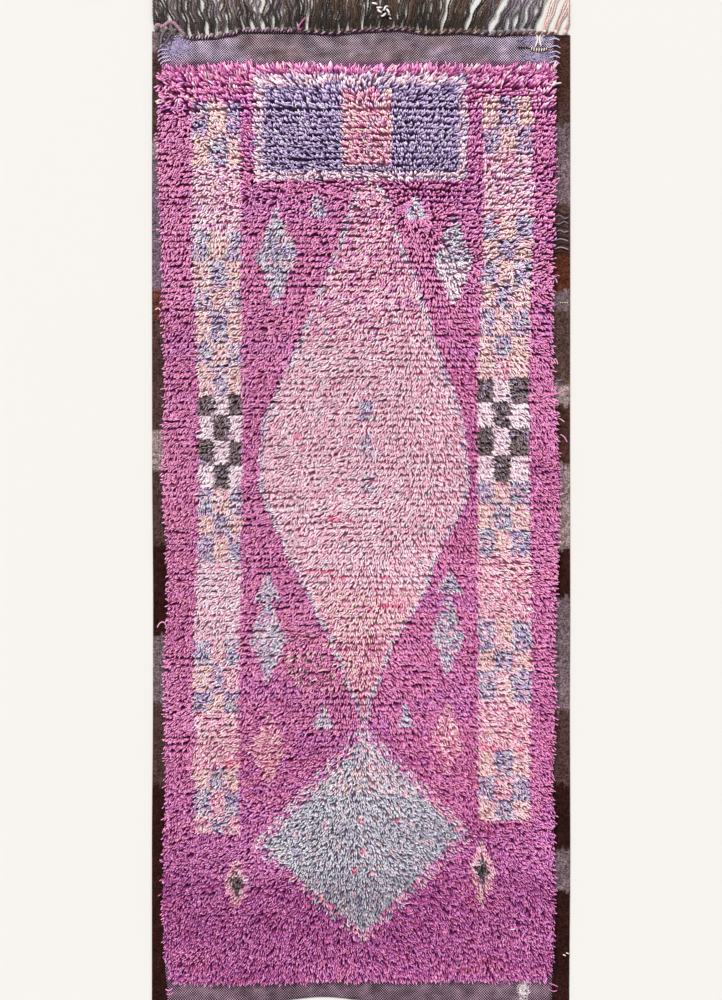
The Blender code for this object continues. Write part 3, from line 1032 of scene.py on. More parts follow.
def yarn_material(name, deep, faded, flank_painted_shade=0.35):
    """Dyed wool: U on the chart sets how faded the strand is, and V takes it from its root to its tip.
    Painted shade darkens its flanks and root end, and a painted highlight lies along its top.
    """
    wool = Material(name, roughness=0.78, specular=0.3)
    wool.put(wool.shader, {"Sheen Weight": 0.08, "Sheen Roughness": 0.45})
    chart = wool.add("UVMap", {}, uv_map=CHART).outputs["UV"]
    parts = wool.add("SeparateXYZ", {0: chart}).outputs

    # How faded: mostly the place along the strand, and some of the strand's own shade
    along = wool.remap(parts["Y"], FADE_ALONG, interpolation="SMOOTHSTEP")
    own = wool.remap(parts["X"], (0.0, 1.0), OWN_SHADE, clamp=False)
    amount = wool.math("MULTIPLY", along, own)

    # Painted shade on the flanks, where a strand lies against the next one, and a painted highlight along
    # its top
    strip = wool.math("FRACT", wool.math("MULTIPLY", parts["X"], float(SHADES)))
    aside = wool.math("ABSOLUTE", wool.math("SUBTRACT", strip, 0.5))
    painted_flank_and_ridge = wool.remap(aside, PAINTED_FLANK_SPAN, (PAINTED_RIDGE_HIGHLIGHT, flank_painted_shade), interpolation="SMOOTHSTEP")
    shaped = wool.math("MULTIPLY", amount, painted_flank_and_ridge)

    # Fibres: fine streaks along the strand
    fibres = wool.noise(wool.stretched(chart, FIBRE_STRETCH), 1.0, detail=3.0)
    streak = wool.math("MULTIPLY_ADD", fibres, FIBRE_CONTRAST, -FIBRE_CONTRAST / 2)

    ramp = wool.add("ValToRGB", {"Fac": wool.math("ADD", shaped, streak, clamp=True)})
    # The root end: the deep dye darkened, as painted shade at the foot of the strand
    ramp.color_ramp.elements[0].color = linear([c * ROOT_PAINTED_SHADE for c in deep])
    ramp.color_ramp.elements[1].color = linear(faded)
    ramp.color_ramp.elements.new(BODY_AT).color = linear(deep)
    wool.colour(ramp.outputs["Color"])
    wool.bump(fibres, strength=0.35, distance=0.0006)
    return wool.made


# A yarn with more plies than this is split, so that no piece has over 200,000 triangles
MOST_PLIES = 24000


def make_pile():
    """The pile, one mesh for each yarn, or several where it has many plies."""
    plies = Plies()
    along = np.array(PLY_RINGS)[:, 0]
    pieces = []
    for k, (yarn, (foot, deep, faded, slot)) in enumerate(YARNS.items()):
        chosen = np.flatnonzero(plies.yarn == k)
        material = yarn_material(f"{yarn}_yarn", deep, faded)
        parts = math.ceil(len(chosen) / MOST_PLIES)
        for n, part in enumerate(np.array_split(chosen, parts)):
            name = f"pile_{yarn}" if parts == 1 else f"pile_{yarn}_{n + 1}"
            piece = ply_mesh(name, plies.rings(part), plies.shade[part], along)
            piece.data.materials.append(material)
            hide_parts("pile_field")
            pieces.append(piece)
    return pieces


def cloth_slab(name, tops):
    """A closed slab under a grid of top points (rows, columns, 3). Its underside is flat on the floor."""
    rows, columns = tops.shape[:2]
    under = tops.copy()
    under[..., 2] = 0.0
    count = rows * columns
    at = np.arange(count).reshape(rows, columns)
    a, b, c, d = at[:-1, :-1].ravel(), at[:-1, 1:].ravel(), at[1:, 1:].ravel(), at[1:, :-1].ravel()
    top = np.stack([a, b, c, d], 1)
    bottom = np.stack([d, c, b, a], 1) + count
    rim = np.concatenate([at[0, :-1], at[:-1, -1], at[-1, :0:-1], at[:0:-1, 0]])
    following = np.roll(rim, -1)
    wall = np.stack([following, rim, rim + count, following + count], 1)
    points = np.concatenate([tops.reshape(-1, 3), under.reshape(-1, 3)])
    return add_mesh(name, points, [top, bottom, wall])


# The woven ground: its columns, and its rows in each stretch, as shares of its length from the lower end
GROUND_COLUMNS = 92
GROUND_ROWS = (
    (0.000, 0.040, 18),
    (0.060, 0.940, 24),
    (0.952, 1.000, 30),
)
GROUND_SQUARE_AT = 1.1
CLOTH_THICKNESS = 0.003
CLOTH_MOST = 0.0036
WEB_WAVE = 0.0009
WEB_RIPPLE = 0.0004
WEB_SHARE = 0.05


def make_ground():
    """The woven ground, level with the CAD sheet, with soft waves in the webs that show at both ends."""
    share = np.linspace(0, 1, GROUND_COLUMNS)
    left, right = field_left(GROUND_SQUARE_AT), field_right(GROUND_SQUARE_AT)
    up = np.concatenate([np.linspace(*row) for row in GROUND_ROWS])[:, None]
    x_end = left + (right - left) * share
    top_y, foot_y = upper_end(x_end), lower_end(x_end)
    y = foot_y[None] + (top_y - foot_y)[None] * up
    x = field_left(y) + (field_right(y) - field_left(y)) * share[None]
    waves = WEB_WAVE * soft_noise("web_wave", x, y) + WEB_RIPPLE * soft_noise("web_ripple", x, y)
    z = CLOTH_THICKNESS + waves * ((up < WEB_SHARE) | (up > 1 - WEB_SHARE))
    piece = cloth_slab("ground_cloth", np.stack([x, y, np.minimum(z, CLOTH_MOST)], -1))
    paint(piece, "weft", weft_colours)
    piece.data.materials.append(web_material())
    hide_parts("ground_weave")
    return piece


# The web's dots: half their pitch across and along, the dark warps, and the wefts' colours, sRGB
WARP_PITCH = 0.0031
WEFT_PITCH = 0.0032
DOT_EDGE = (0.66, 0.90)
WANDER_SCALE = 14.0
WANDER = 9.0
PATCH_SCALE = 26.0
PATCH_CONTRAST = 1.4
PATCH_LEVEL = -0.20
WARP_COLOUR = (18, 6, 10)
WEFT_LILAC = (226, 204, 232)
WEFT_BROWNISH = (192, 160, 162)
WEFT_PINK = (206, 130, 184)
WEFT_LOW = (188, 152, 174)
SIDES_PLAIN = 0.9
SIDES_LIGHTER = 0.14
LOW_PATCH = 0.4
STAIN_DEPTH = 0.8
STAIN_UNEVEN = 0.5
STAIN_MOST = 0.9
WEFT_UNEVEN = 0.22
PATCH_SHARE = 0.5
PATCH_SPREAD = 0.5
PATCH_FLECKS = 0.3


def paint(piece, layer_name, colours_at):
    """Gives a piece a colour for each vertex, from a function of x and y."""
    points = points_of(piece.data)
    colours = colours_at(points[:, 0], points[:, 1])
    layer = piece.data.color_attributes.new(layer_name, "FLOAT_COLOR", "POINT")
    layer.data.foreach_set("color", np.c_[colours, np.ones(len(colours))].astype(np.float32).ravel())


def weft_colours(x, y):
    """The web's wefts: lilac with browner patches, pink next to the pile, and darker at the lower end."""
    dyes = (WEFT_LILAC, WEFT_BROWNISH, WEFT_PINK, WEFT_LOW)
    lilac, brownish, pink, low = (np.array(linear(dye)[:3]) for dye in dyes)
    patch = PATCH_SHARE + PATCH_SPREAD * soft_noise("weft_patch", x, y)
    patch = patch + PATCH_FLECKS * soft_noise("weft_fleck", x, y)
    sides = measure("web_sides", np.abs(x))
    patch = np.clip(patch - SIDES_PLAIN * sides, 0, 1)[:, None]
    colours = (lilac + (brownish - lilac) * patch) * (1 + SIDES_LIGHTER * sides[:, None])
    colours = np.where(y[:, None] < 0, low * (1 - LOW_PATCH * patch), colours)
    near = np.where(y > 0, measure("pink_upper_web", y), measure("pink_lower_web", y))
    near = near * (1 + STAIN_UNEVEN * soft_noise("weft_stain", x, y))
    near = np.clip(near, 0, STAIN_MOST)[:, None]
    colours = colours + (pink * STAIN_DEPTH - colours) * near
    return colours * (1 + WEFT_UNEVEN * soft_noise("weft_shade", x, y))[:, None]


def web_material():
    """Plain weave: dots of the light wefts among the dark warps. The wefts' colours come with the mesh."""
    weave = Material("web_weave", roughness=0.9, specular=0.2)
    place = weave.add("TexCoord", {}).outputs["Object"]
    parts = weave.add("SeparateXYZ", {0: place}).outputs
    across = weave.math("MULTIPLY", parts["X"], math.pi / WARP_PITCH)
    along = weave.math("MULTIPLY", parts["Y"], math.pi / WEFT_PITCH)
    along = weave.math("ADD", along, weave.math("MULTIPLY", weave.noise(place, WANDER_SCALE), WANDER))
    dots = weave.math("MULTIPLY", weave.math("SINE", across), weave.math("SINE", along))
    patches = weave.noise(place, PATCH_SCALE, detail=4.0)
    uneven = weave.math("MULTIPLY_ADD", patches, PATCH_CONTRAST, PATCH_LEVEL)
    light = weave.remap(weave.math("ADD", dots, uneven), DOT_EDGE, interpolation="SMOOTHSTEP")
    colours = {"Factor": light, "A": linear(WARP_COLOUR), "B": weave.of_mesh("weft")}
    weave.colour(weave.add("Mix", colours, data_type="RGBA").outputs["Result"])
    weave.bump(dots, strength=0.8, distance=0.0010)
    return weave.made


# The side bands' colours, from the lower end up: each block's upper edge and its hair
# Columns: y_high, hair
HAIR = {
    "black": (36, 15, 12),
    "dark": (60, 41, 39),
    "umber": (70, 51, 46),
    "brown": (56, 34, 28),
    "chestnut": (82, 46, 38),
    "rust": (64, 32, 20),
    "grey": (93, 77, 82),
    "lilac_grey": (96, 78, 90),
    "pale": (118, 102, 101),
}
BAND_LEFT = (
    (-0.741, "black"),
    (-0.541, "dark"),
    (-0.365, "grey"),
    (-0.141, "black"),
    (0.046, "dark"),
    (0.146, "pale"),
    (0.421, "dark"),
    (0.496, "chestnut"),
    (0.821, "lilac_grey"),
    (0.871, "pale"),
    (1.096, "dark"),
    (1.300, "grey"),
)
BAND_RIGHT = (
    (-1.004, "black"),
    (-0.899, "grey"),
    (-0.741, "black"),
    (-0.554, "dark"),
    (-0.271, "grey"),
    (-0.154, "black"),
    (0.059, "pale"),
    (0.209, "brown"),
    (0.259, "pale"),
    (0.446, "umber"),
    (0.496, "grey"),
    (0.609, "rust"),
    (0.709, "dark"),
    (0.909, "grey"),
    (0.959, "dark"),
    (1.300, "brown"),
)
BAND_ROWS = 270
BAND_RIBS = 5
RIB_STEPS = 4
VALLEY_HEIGHT = 0.0021
RIB_HEIGHT = 0.0011
RIB_ROUNDNESS = 0.6
HAIR_LUMPS = 0.00025
BLOCK_RAGGED = 0.006
HAIR_FLECKS = 0.30
HAIR_SPREAD = 0.10
HAIR_DRIFT = 0.16
FLECK_RANGE = (0.4, 1.8)
HAIR_STRETCH = (220.0, 330.0, 220.0)
HAIR_NOISE = (0.3, 0.7)
HAIR_LIGHT = (0.05, 2.25)


def band_colours(table, x, y, seed):
    """Each vertex's hair colour, with ragged changes from block to block and wefts that differ a little."""
    rng = np.random.default_rng(seed)
    at = y + BLOCK_RAGGED * soft_noise("hair_edge", x, y, seed)
    highs = [high for high, hair in table]
    block = np.clip(np.searchsorted(highs, at), 0, len(table) - 1)
    shades = np.array([linear(HAIR[hair])[:3] for high, hair in table])
    fleck = 1 + HAIR_FLECKS * soft_noise("hair_fleck", x, y, seed) + rng.normal(0, HAIR_SPREAD, len(x))
    slow = 1 + HAIR_DRIFT * soft_noise("hair_slow", x, y, seed)
    return shades[block] * (np.clip(fleck, *FLECK_RANGE) * slow)[:, None]


def make_band(name, node, inner, outer, table, seed):
    """A flat goat-hair band with rounded ribs along it."""
    low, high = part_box(node)[0].y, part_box(node)[1].y
    ys = np.linspace(low, high, BAND_ROWS)
    share = np.linspace(0, 1, BAND_RIBS * RIB_STEPS + 1)
    x = inner(ys)[:, None] + (outer(ys) - inner(ys))[:, None] * share[None]
    y = np.broadcast_to(ys[:, None], x.shape)
    y = np.clip(y, lower_end(x), upper_end(x))
    rib = np.abs(np.sin(math.pi * share * BAND_RIBS)) ** RIB_ROUNDNESS
    z = VALLEY_HEIGHT + RIB_HEIGHT * rib[None] + HAIR_LUMPS * soft_noise("hair_lump", x, y, seed)
    tops = np.stack([x, y, z], -1)
    piece = cloth_slab(name, tops[:, ::-1] if outer(0.0) < 0 else tops)
    paint(piece, "hair", lambda px, py: band_colours(table, px, py, seed))
    piece.data.materials.append(hair_material(f"{name}_hair"))
    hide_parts(node)
    return piece


def hair_material(name):
    """Goat hair, coarse and dull, packed in wefts across the ribs. Its colours come with the mesh."""
    hair = Material(name, roughness=0.8, specular=0.05)
    place = hair.add("TexCoord", {}).outputs["Object"]
    wefts = hair.noise(hair.stretched(place, HAIR_STRETCH), 1.0, detail=4.0)
    light = hair.remap(wefts, HAIR_NOISE, HAIR_LIGHT)
    tint = hair.add("VectorMath", {0: hair.of_mesh("hair"), "Scale": light}, operation="SCALE")
    hair.colour(tint.outputs["Vector"])
    hair.bump(wefts, strength=0.7, distance=0.0007)
    return hair.made


# Strand colours away from the pile, sRGB: deep and faded, with the record's slot
STRANDS = {
    "grey_brown": ((46, 34, 33), (152, 132, 138), "fringe_yarn"),
    "brown": ((32, 19, 13), (116, 88, 70), "fringe_yarn"),
    "dark_brown": ((20, 11, 7), (98, 68, 52), "fringe_yarn"),
    "grey": ((44, 36, 42), (150, 136, 150), "fringe_yarn"),
    "pale_pink": ((196, 158, 152), (250, 232, 228), "mending_yarn"),
    "white": ((206, 190, 190), (255, 250, 250), "mending_yarn"),
    "cream": ((190, 170, 140), (250, 240, 216), "mending_yarn"),
    "black": ((14, 9, 10), (44, 32, 34), "fringe_yarn"),
    "pink": ((190, 96, 148), (248, 196, 224), "twined_yarn"),
    "mauve": ((126, 74, 108), (218, 170, 200), "twined_yarn"),
    "pale": ((164, 118, 140), (240, 204, 218), "twined_yarn"),
    "dusty": ((110, 76, 84), (200, 164, 172), "twined_yarn"),
    "lilac": ((150, 132, 172), (226, 214, 240), "twined_yarn"),
    "magenta": ((150, 44, 116), (240, 150, 208), "twined_yarn"),
    "blue": ((40, 60, 110), (120, 150, 200), "mending_yarn"),
}


FULL_TURN = 2 * math.pi


def curve_through(points, steps):
    """A smooth line through a few points, as (steps, n)."""
    points = np.array(points, float)
    tangent = np.gradient(points, axis=0)
    at = np.linspace(0, len(points) - 1, steps)
    k = np.clip(at.astype(int), 0, len(points) - 2)
    t = (at - k)[:, None]
    a, b, da, db = points[k], points[k + 1], tangent[k], tangent[k + 1]
    return (
        a * (2 * t**3 - 3 * t**2 + 1)
        + da * (t**3 - 2 * t**2 + t)
        + b * (3 * t**2 - 2 * t**3)
        + db * (t**3 - t**2)
    )


def sides_of(centre):
    """Unit vectors across and above a line at each step."""
    heading = np.gradient(centre, axis=0)
    heading /= np.linalg.norm(heading, axis=1)[:, None]
    side = np.cross(heading, (0.0, 0.0, 1.0))
    side /= np.linalg.norm(side, axis=1)[:, None]
    return side, np.cross(side, heading)


# A strand tapers to this share of its radius at both ends, at this rate
TAPER_END = 0.5
TAPER_RATE = 5

# Two plies of a yarn: how far each lies from the yarn's line and its radius, as shares of the yarn's
PLY_ORBIT = 0.52
PLY_RADIUS = 0.62


def strand(centre, radius, sides=4):
    """Rings round a line: (steps, sides, 3). radius is a number, or one for each step."""
    side, up = sides_of(centre)
    angles = np.arange(sides) * FULL_TURN / sides
    corner = side[:, None] * np.cos(angles)[None, :, None] + up[:, None] * np.sin(angles)[None, :, None]
    t = np.linspace(0, 1, len(centre))
    taper = np.minimum(1, TAPER_END + TAPER_RATE * np.minimum(t, 1 - t))
    return centre[:, None] + corner * (np.broadcast_to(radius, len(centre)) * taper)[:, None, None]


def twisted(centre, radius, turn, ply, sides=4):
    """One ply of plied yarn: rings round a helix about the line. turn is the yarn's angle at each step."""
    side, up = sides_of(centre)
    angle = (turn + math.pi * ply)[:, None]
    wide = np.broadcast_to(radius, len(centre))[:, None]
    middle = centre + PLY_ORBIT * wide * (side * np.cos(angle) + up * np.sin(angle))
    return strand(middle, PLY_RADIUS * wide[:, 0], sides)


def add_strands(name, kind, rings, sides, shades, along):
    """A piece of many strands of one kind, all with the same steps."""
    deep, faded, slot = STRANDS[kind]
    piece = tubes(name, np.array(rings), sides, np.clip(np.array(shades), 0, 0.999), along)
    # Painted shade on the strands' flanks, lighter here than in the pile
    piece.data.materials.append(yarn_material(name, deep, faded, flank_painted_shade=0.6))
    return piece


# The fringe, in stretches from left to right. Lean is in degrees from straight up, to the right.
# Columns: x_to, kind, pitch, yarns, radius, wave, lean_from, lean_to
FRINGE = (
    (-0.155, "grey_brown", 0.0222, 4, 0.0029, 0.0040, -14, 2),
    (0.140, "dark_brown", 0.0200, 5, 0.0025, 0.0022, 2, 12),
    (0.300, "brown", 0.0200, 5, 0.0025, 0.0022, 12, 20),
    (0.435, "grey", 0.0195, 2, 0.0034, 0.0040, 20, 26),
    (0.475, "pale_pink", 0.0400, 4, 0.0019, 0.0012, 26, 26),
    (0.5225, "pale_pink", 0.0230, 4, 0.0019, 0.0012, 24, 16),
)
FRINGE_STEPS = 26
FRINGE_OTHER = {"grey_brown": "brown", "dark_brown": "brown", "brown": "dark_brown", "grey": "grey_brown"}
FRINGE_OTHER_SHARE = 0.35
FRINGE_INSET = 0.004
TIP_INSET = 0.003
TIP_SPREAD = 0.016
FRINGE_FADE = (0.34, 0.64)

# How bundles differ: where they stand, their lean in degrees, and the waves that their yarns share
BUNDLE_ASIDE = 0.0012
BUNDLE_LEAN = 7
WAVES = (1.6, 2.8)

# How a bundle's yarns differ: they open out near the root and fan to the tip, and each has waves, curls,
# twists and shades of its own
OPENING = 1.3
OPENING_RATE = 2.2
FANNING = 0.7
FANNING_SPREAD = 0.6
WAVE_SPREAD = 0.25
PHASE_SPREAD = 0.4
WAVES_BEGIN = 3
CURL = 0.30
CURLS_TO_WAVES = 3.1
LEAN_BENDS = 1.1
RIPPLE_HEIGHT = 0.0022
RIPPLES = 1.9
LOWEST_Z = 0.0003
TWISTS = (7, 10)
YARN_SHADES = (0.05, 0.95)
PLY_SHADE_SPREAD = 0.08

# A bundle's bound root: how far above the end its yarns begin, how far below them it starts, its length,
# its lean, its height, its swell and its steps
ROOT_ABOVE = 0.002
ROOT_BELOW = 0.003
ROOT_LENGTH = 0.013
ROOT_LEAN = 0.03
ROOT_Z = 0.0052
ROOT_LOWEST_Z = 0.0004
ROOT_SIZE = 1.5
ROOT_SWELL = 0.9
ROOT_SHADES = (0.2, 0.9)
ROOT_STEPS = 9


def make_fringe():
    """The warp fringe: bundles of wavy plied yarns, each bundle bound tight at its root."""
    rng = np.random.default_rng(41)
    low_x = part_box("warp_fringe")[0].x + FRINGE_INSET
    high_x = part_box("warp_fringe")[1].x - FRINGE_INSET
    tip_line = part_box("warp_fringe")[1].y - TIP_INSET
    t = np.linspace(0, 1, FRINGE_STEPS)
    root_t = t[:ROOT_STEPS]
    root_share = root_t / root_t[-1]
    made, roots = {}, {}
    x_from = low_x
    for x_to, kind, pitch, yarns, radius, wave, lean_from, lean_to in FRINGE:
        x_to = min(x_to, high_x)
        bundles = max(1, round((x_to - x_from) / pitch))
        for k in range(bundles):
            share = (k + 0.5) / bundles
            middle = x_from + share * (x_to - x_from) + rng.normal(0, BUNDLE_ASIDE)
            degrees = lean_from + (lean_to - lean_from) * share + rng.normal(0, BUNDLE_LEAN)
            lean = math.tan(math.radians(degrees))
            waves, phase = rng.uniform(*WAVES), rng.uniform(0, FULL_TURN)
            root_y = float(upper_end(middle)) + ROOT_ABOVE
            for n in range(yarns):
                place = n - (yarns - 1) / 2
                own_kind = FRINGE_OTHER.get(kind, kind) if rng.uniform() < FRINGE_OTHER_SHARE else kind
                length = tip_line - abs(rng.normal(0, TIP_SPREAD)) - root_y
                opened = 1.0 + OPENING * smooth(OPENING_RATE * t)
                spread = place * radius * (opened + FANNING * t * rng.normal(1, FANNING_SPREAD))
                size = wave * rng.normal(1, WAVE_SPREAD)
                sway = size * np.sin(FULL_TURN * waves * t + phase + rng.normal(0, PHASE_SPREAD))
                sway = (sway - wave * math.sin(phase)) * smooth(WAVES_BEGIN * t)
                curl = CURL * wave * np.sin(FULL_TURN * (waves * CURLS_TO_WAVES * t + rng.uniform(0, 1)))
                x = middle + spread + lean * length * t**LEAN_BENDS + sway + curl * t
                ripple = 0.5 + 0.5 * np.sin(FULL_TURN * (RIPPLES * t + rng.uniform(0, 1)))
                z = LOWEST_Z + (PLY_ORBIT + PLY_RADIUS) * radius + RIPPLE_HEIGHT * ripple
                line = np.stack([np.clip(x, low_x, high_x), root_y + length * t, z], 1)
                turn = rng.uniform(0, FULL_TURN) + FULL_TURN * rng.uniform(*TWISTS) * t
                shade = rng.uniform(*YARN_SHADES)
                for ply in range(2):
                    rings = twisted(line, radius, turn, ply)
                    own_shade = shade + rng.normal(0, PLY_SHADE_SPREAD)
                    made.setdefault(own_kind, []).append((rings, own_shade))
            knot_x = middle + lean * root_t * ROOT_LEAN
            knot_y = root_y - ROOT_BELOW + ROOT_LENGTH * root_share
            swell = radius * (ROOT_SIZE + ROOT_SWELL * np.sin(math.pi * root_share))
            root = strand(np.stack([knot_x, knot_y, np.full(ROOT_STEPS, ROOT_Z)], 1), swell, 6)
            root[..., 2] = np.maximum(root[..., 2], ROOT_LOWEST_Z)
            roots.setdefault(kind, []).append((root, rng.uniform(*ROOT_SHADES)))
        x_from = x_to
    pieces = []
    for prefix, source, sides, steps in (("fringe", made, 4, FRINGE_STEPS), ("root", roots, 6, ROOT_STEPS)):
        for kind, found in source.items():
            rings, shades = zip(*found)
            along = np.linspace(*FRINGE_FADE, steps)
            pieces.append(add_strands(f"{prefix}_{kind}", kind, rings, sides, shades, along))
            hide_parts("warp_fringe")
    return pieces


# The twined head in stretches: where each ends, its pitch, its radius and its two yarns
# Columns: x_to, pitch, radius, light, dark
TWINES = (
    (-0.360, 0.0080, 0.0036, "pale", "black"),
    (-0.150, 0.0080, 0.0036, "mauve", "black"),
    (0.140, 0.0180, 0.0034, "mauve", "black"),
    (0.330, 0.0200, 0.0036, "dusty", "dark_brown"),
    (0.485, 0.0150, 0.0050, "dusty", "brown"),
)
TWINE_FROM = -0.437
TWINE_ABOVE = 0.0026
TWINE_Z = 0.0066
TWINE_WOBBLE = 0.0012
TWINE_UNEVEN = 0.8
TWINE_FADE = 0.50
TWINE_FADE_SPREAD = 0.18
TWINE_SHADE = 0.65
STEPS_PER_TURN = 10
LEAST_STEPS = 12
HEAD_INSET = 0.003

# The chain at the left corner
CORNER_CHAIN = (
    (-0.5165, 1.148, 0.006),
    (-0.5080, 1.158, 0.007),
    (-0.4980, 1.153, 0.007),
    (-0.4890, 1.157, 0.008),
    (-0.4775, 1.165, 0.008),
    (-0.4640, 1.159, 0.008),
    (-0.4530, 1.146, 0.007),
    (-0.4370, 1.131, 0.006),
)
CHAIN_PITCH = 0.0115
CHAIN_RADIUS = 0.0042

# The thin dark cord below the head
BINDING_BELOW = 0.0036
BINDING_Z = 0.0042
BINDING_WOBBLE = 0.0007
BINDING_PITCH = 0.008
BINDING_RADIUS = 0.0017
BINDING_STEPS = 320
BINDING_SHADE = 0.5
BINDING_FADE = 0.4

# A knotted end of white and black yarn among the fringe
KNOTTED_END = (
    (0.022, 1.226, 0.007),
    (0.036, 1.208, 0.008),
    (0.052, 1.196, 0.010),
    (0.066, 1.200, 0.012),
    (0.066, 1.184, 0.012),
    (0.052, 1.182, 0.010),
    (0.046, 1.196, 0.008),
    (0.062, 1.192, 0.007),
    (0.076, 1.172, 0.007),
)
KNOTTED_PITCH = 0.016
KNOTTED_RADIUS = 0.0042


ROPE_STEPS = 90
ROPE_SHADE = 0.7
LOOSE_FADE = 0.55


def add_rope(name, points, radius, pitch, kinds):
    """A short rope through a few points, one piece for each of its two yarns."""
    line = curve_through(points, ROPE_STEPS)
    run = np.r_[0, np.cumsum(np.linalg.norm(np.diff(line, axis=0), axis=1))]
    along = np.full(ROPE_STEPS, LOOSE_FADE)
    pieces = []
    for ply, kind in enumerate(kinds):
        rings = [twisted(line, radius, FULL_TURN * run / pitch, ply, sides=6)]
        pieces.append(add_strands(f"{name}_{kind}", kind, rings, 6, [ROPE_SHADE], along))
    return pieces


def make_head():
    """The twined yarns over the roots of the fringe, two short ropes, and the thin dark cord below."""
    high_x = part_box("warp_fringe")[1].x - HEAD_INSET
    pieces = []
    x_from = TWINE_FROM
    for k, (x_to, pitch, radius, light, dark) in enumerate(TWINES):
        steps = max(LEAST_STEPS, round((x_to - x_from) / pitch * STEPS_PER_TURN))
        x = np.linspace(x_from, x_to, steps)
        y = upper_end(x) + TWINE_ABOVE + TWINE_WOBBLE * soft_noise("twine_wobble", x, 0 * x, k)
        line = np.stack([x, y, np.full(steps, TWINE_Z)], 1)
        turn = FULL_TURN * (x - x_from) / pitch + TWINE_UNEVEN * soft_noise("twine_turn", x, 0 * x)
        along = TWINE_FADE + TWINE_FADE_SPREAD * soft_noise("twine_shade", x, 0 * x)
        for ply, kind in enumerate((light, dark)):
            rings = [twisted(line, radius, turn, ply, sides=5)]
            pieces.append(add_strands(f"twined_{k + 1}_{kind}", kind, rings, 5, [TWINE_SHADE], along))
        x_from = x_to
    pieces += add_rope("corner_chain", CORNER_CHAIN, CHAIN_RADIUS, CHAIN_PITCH, ("mauve", "dusty"))
    pieces += add_rope("knotted_end", KNOTTED_END, KNOTTED_RADIUS, KNOTTED_PITCH, ("white", "black"))
    x = np.linspace(TWINE_FROM, high_x, BINDING_STEPS)
    y = upper_end(x) - BINDING_BELOW + BINDING_WOBBLE * soft_noise("binding_wobble", x, 0 * x)
    line = np.stack([x, y, np.full(BINDING_STEPS, BINDING_Z)], 1)
    turn = FULL_TURN * x / BINDING_PITCH
    along = np.full(BINDING_STEPS, BINDING_FADE)
    for ply, kind in enumerate(("black", "dark_brown")):
        rings = [twisted(line, BINDING_RADIUS, turn, ply)]
        pieces.append(add_strands(f"binding_{kind}", kind, rings, 4, [BINDING_SHADE], along))
    return pieces


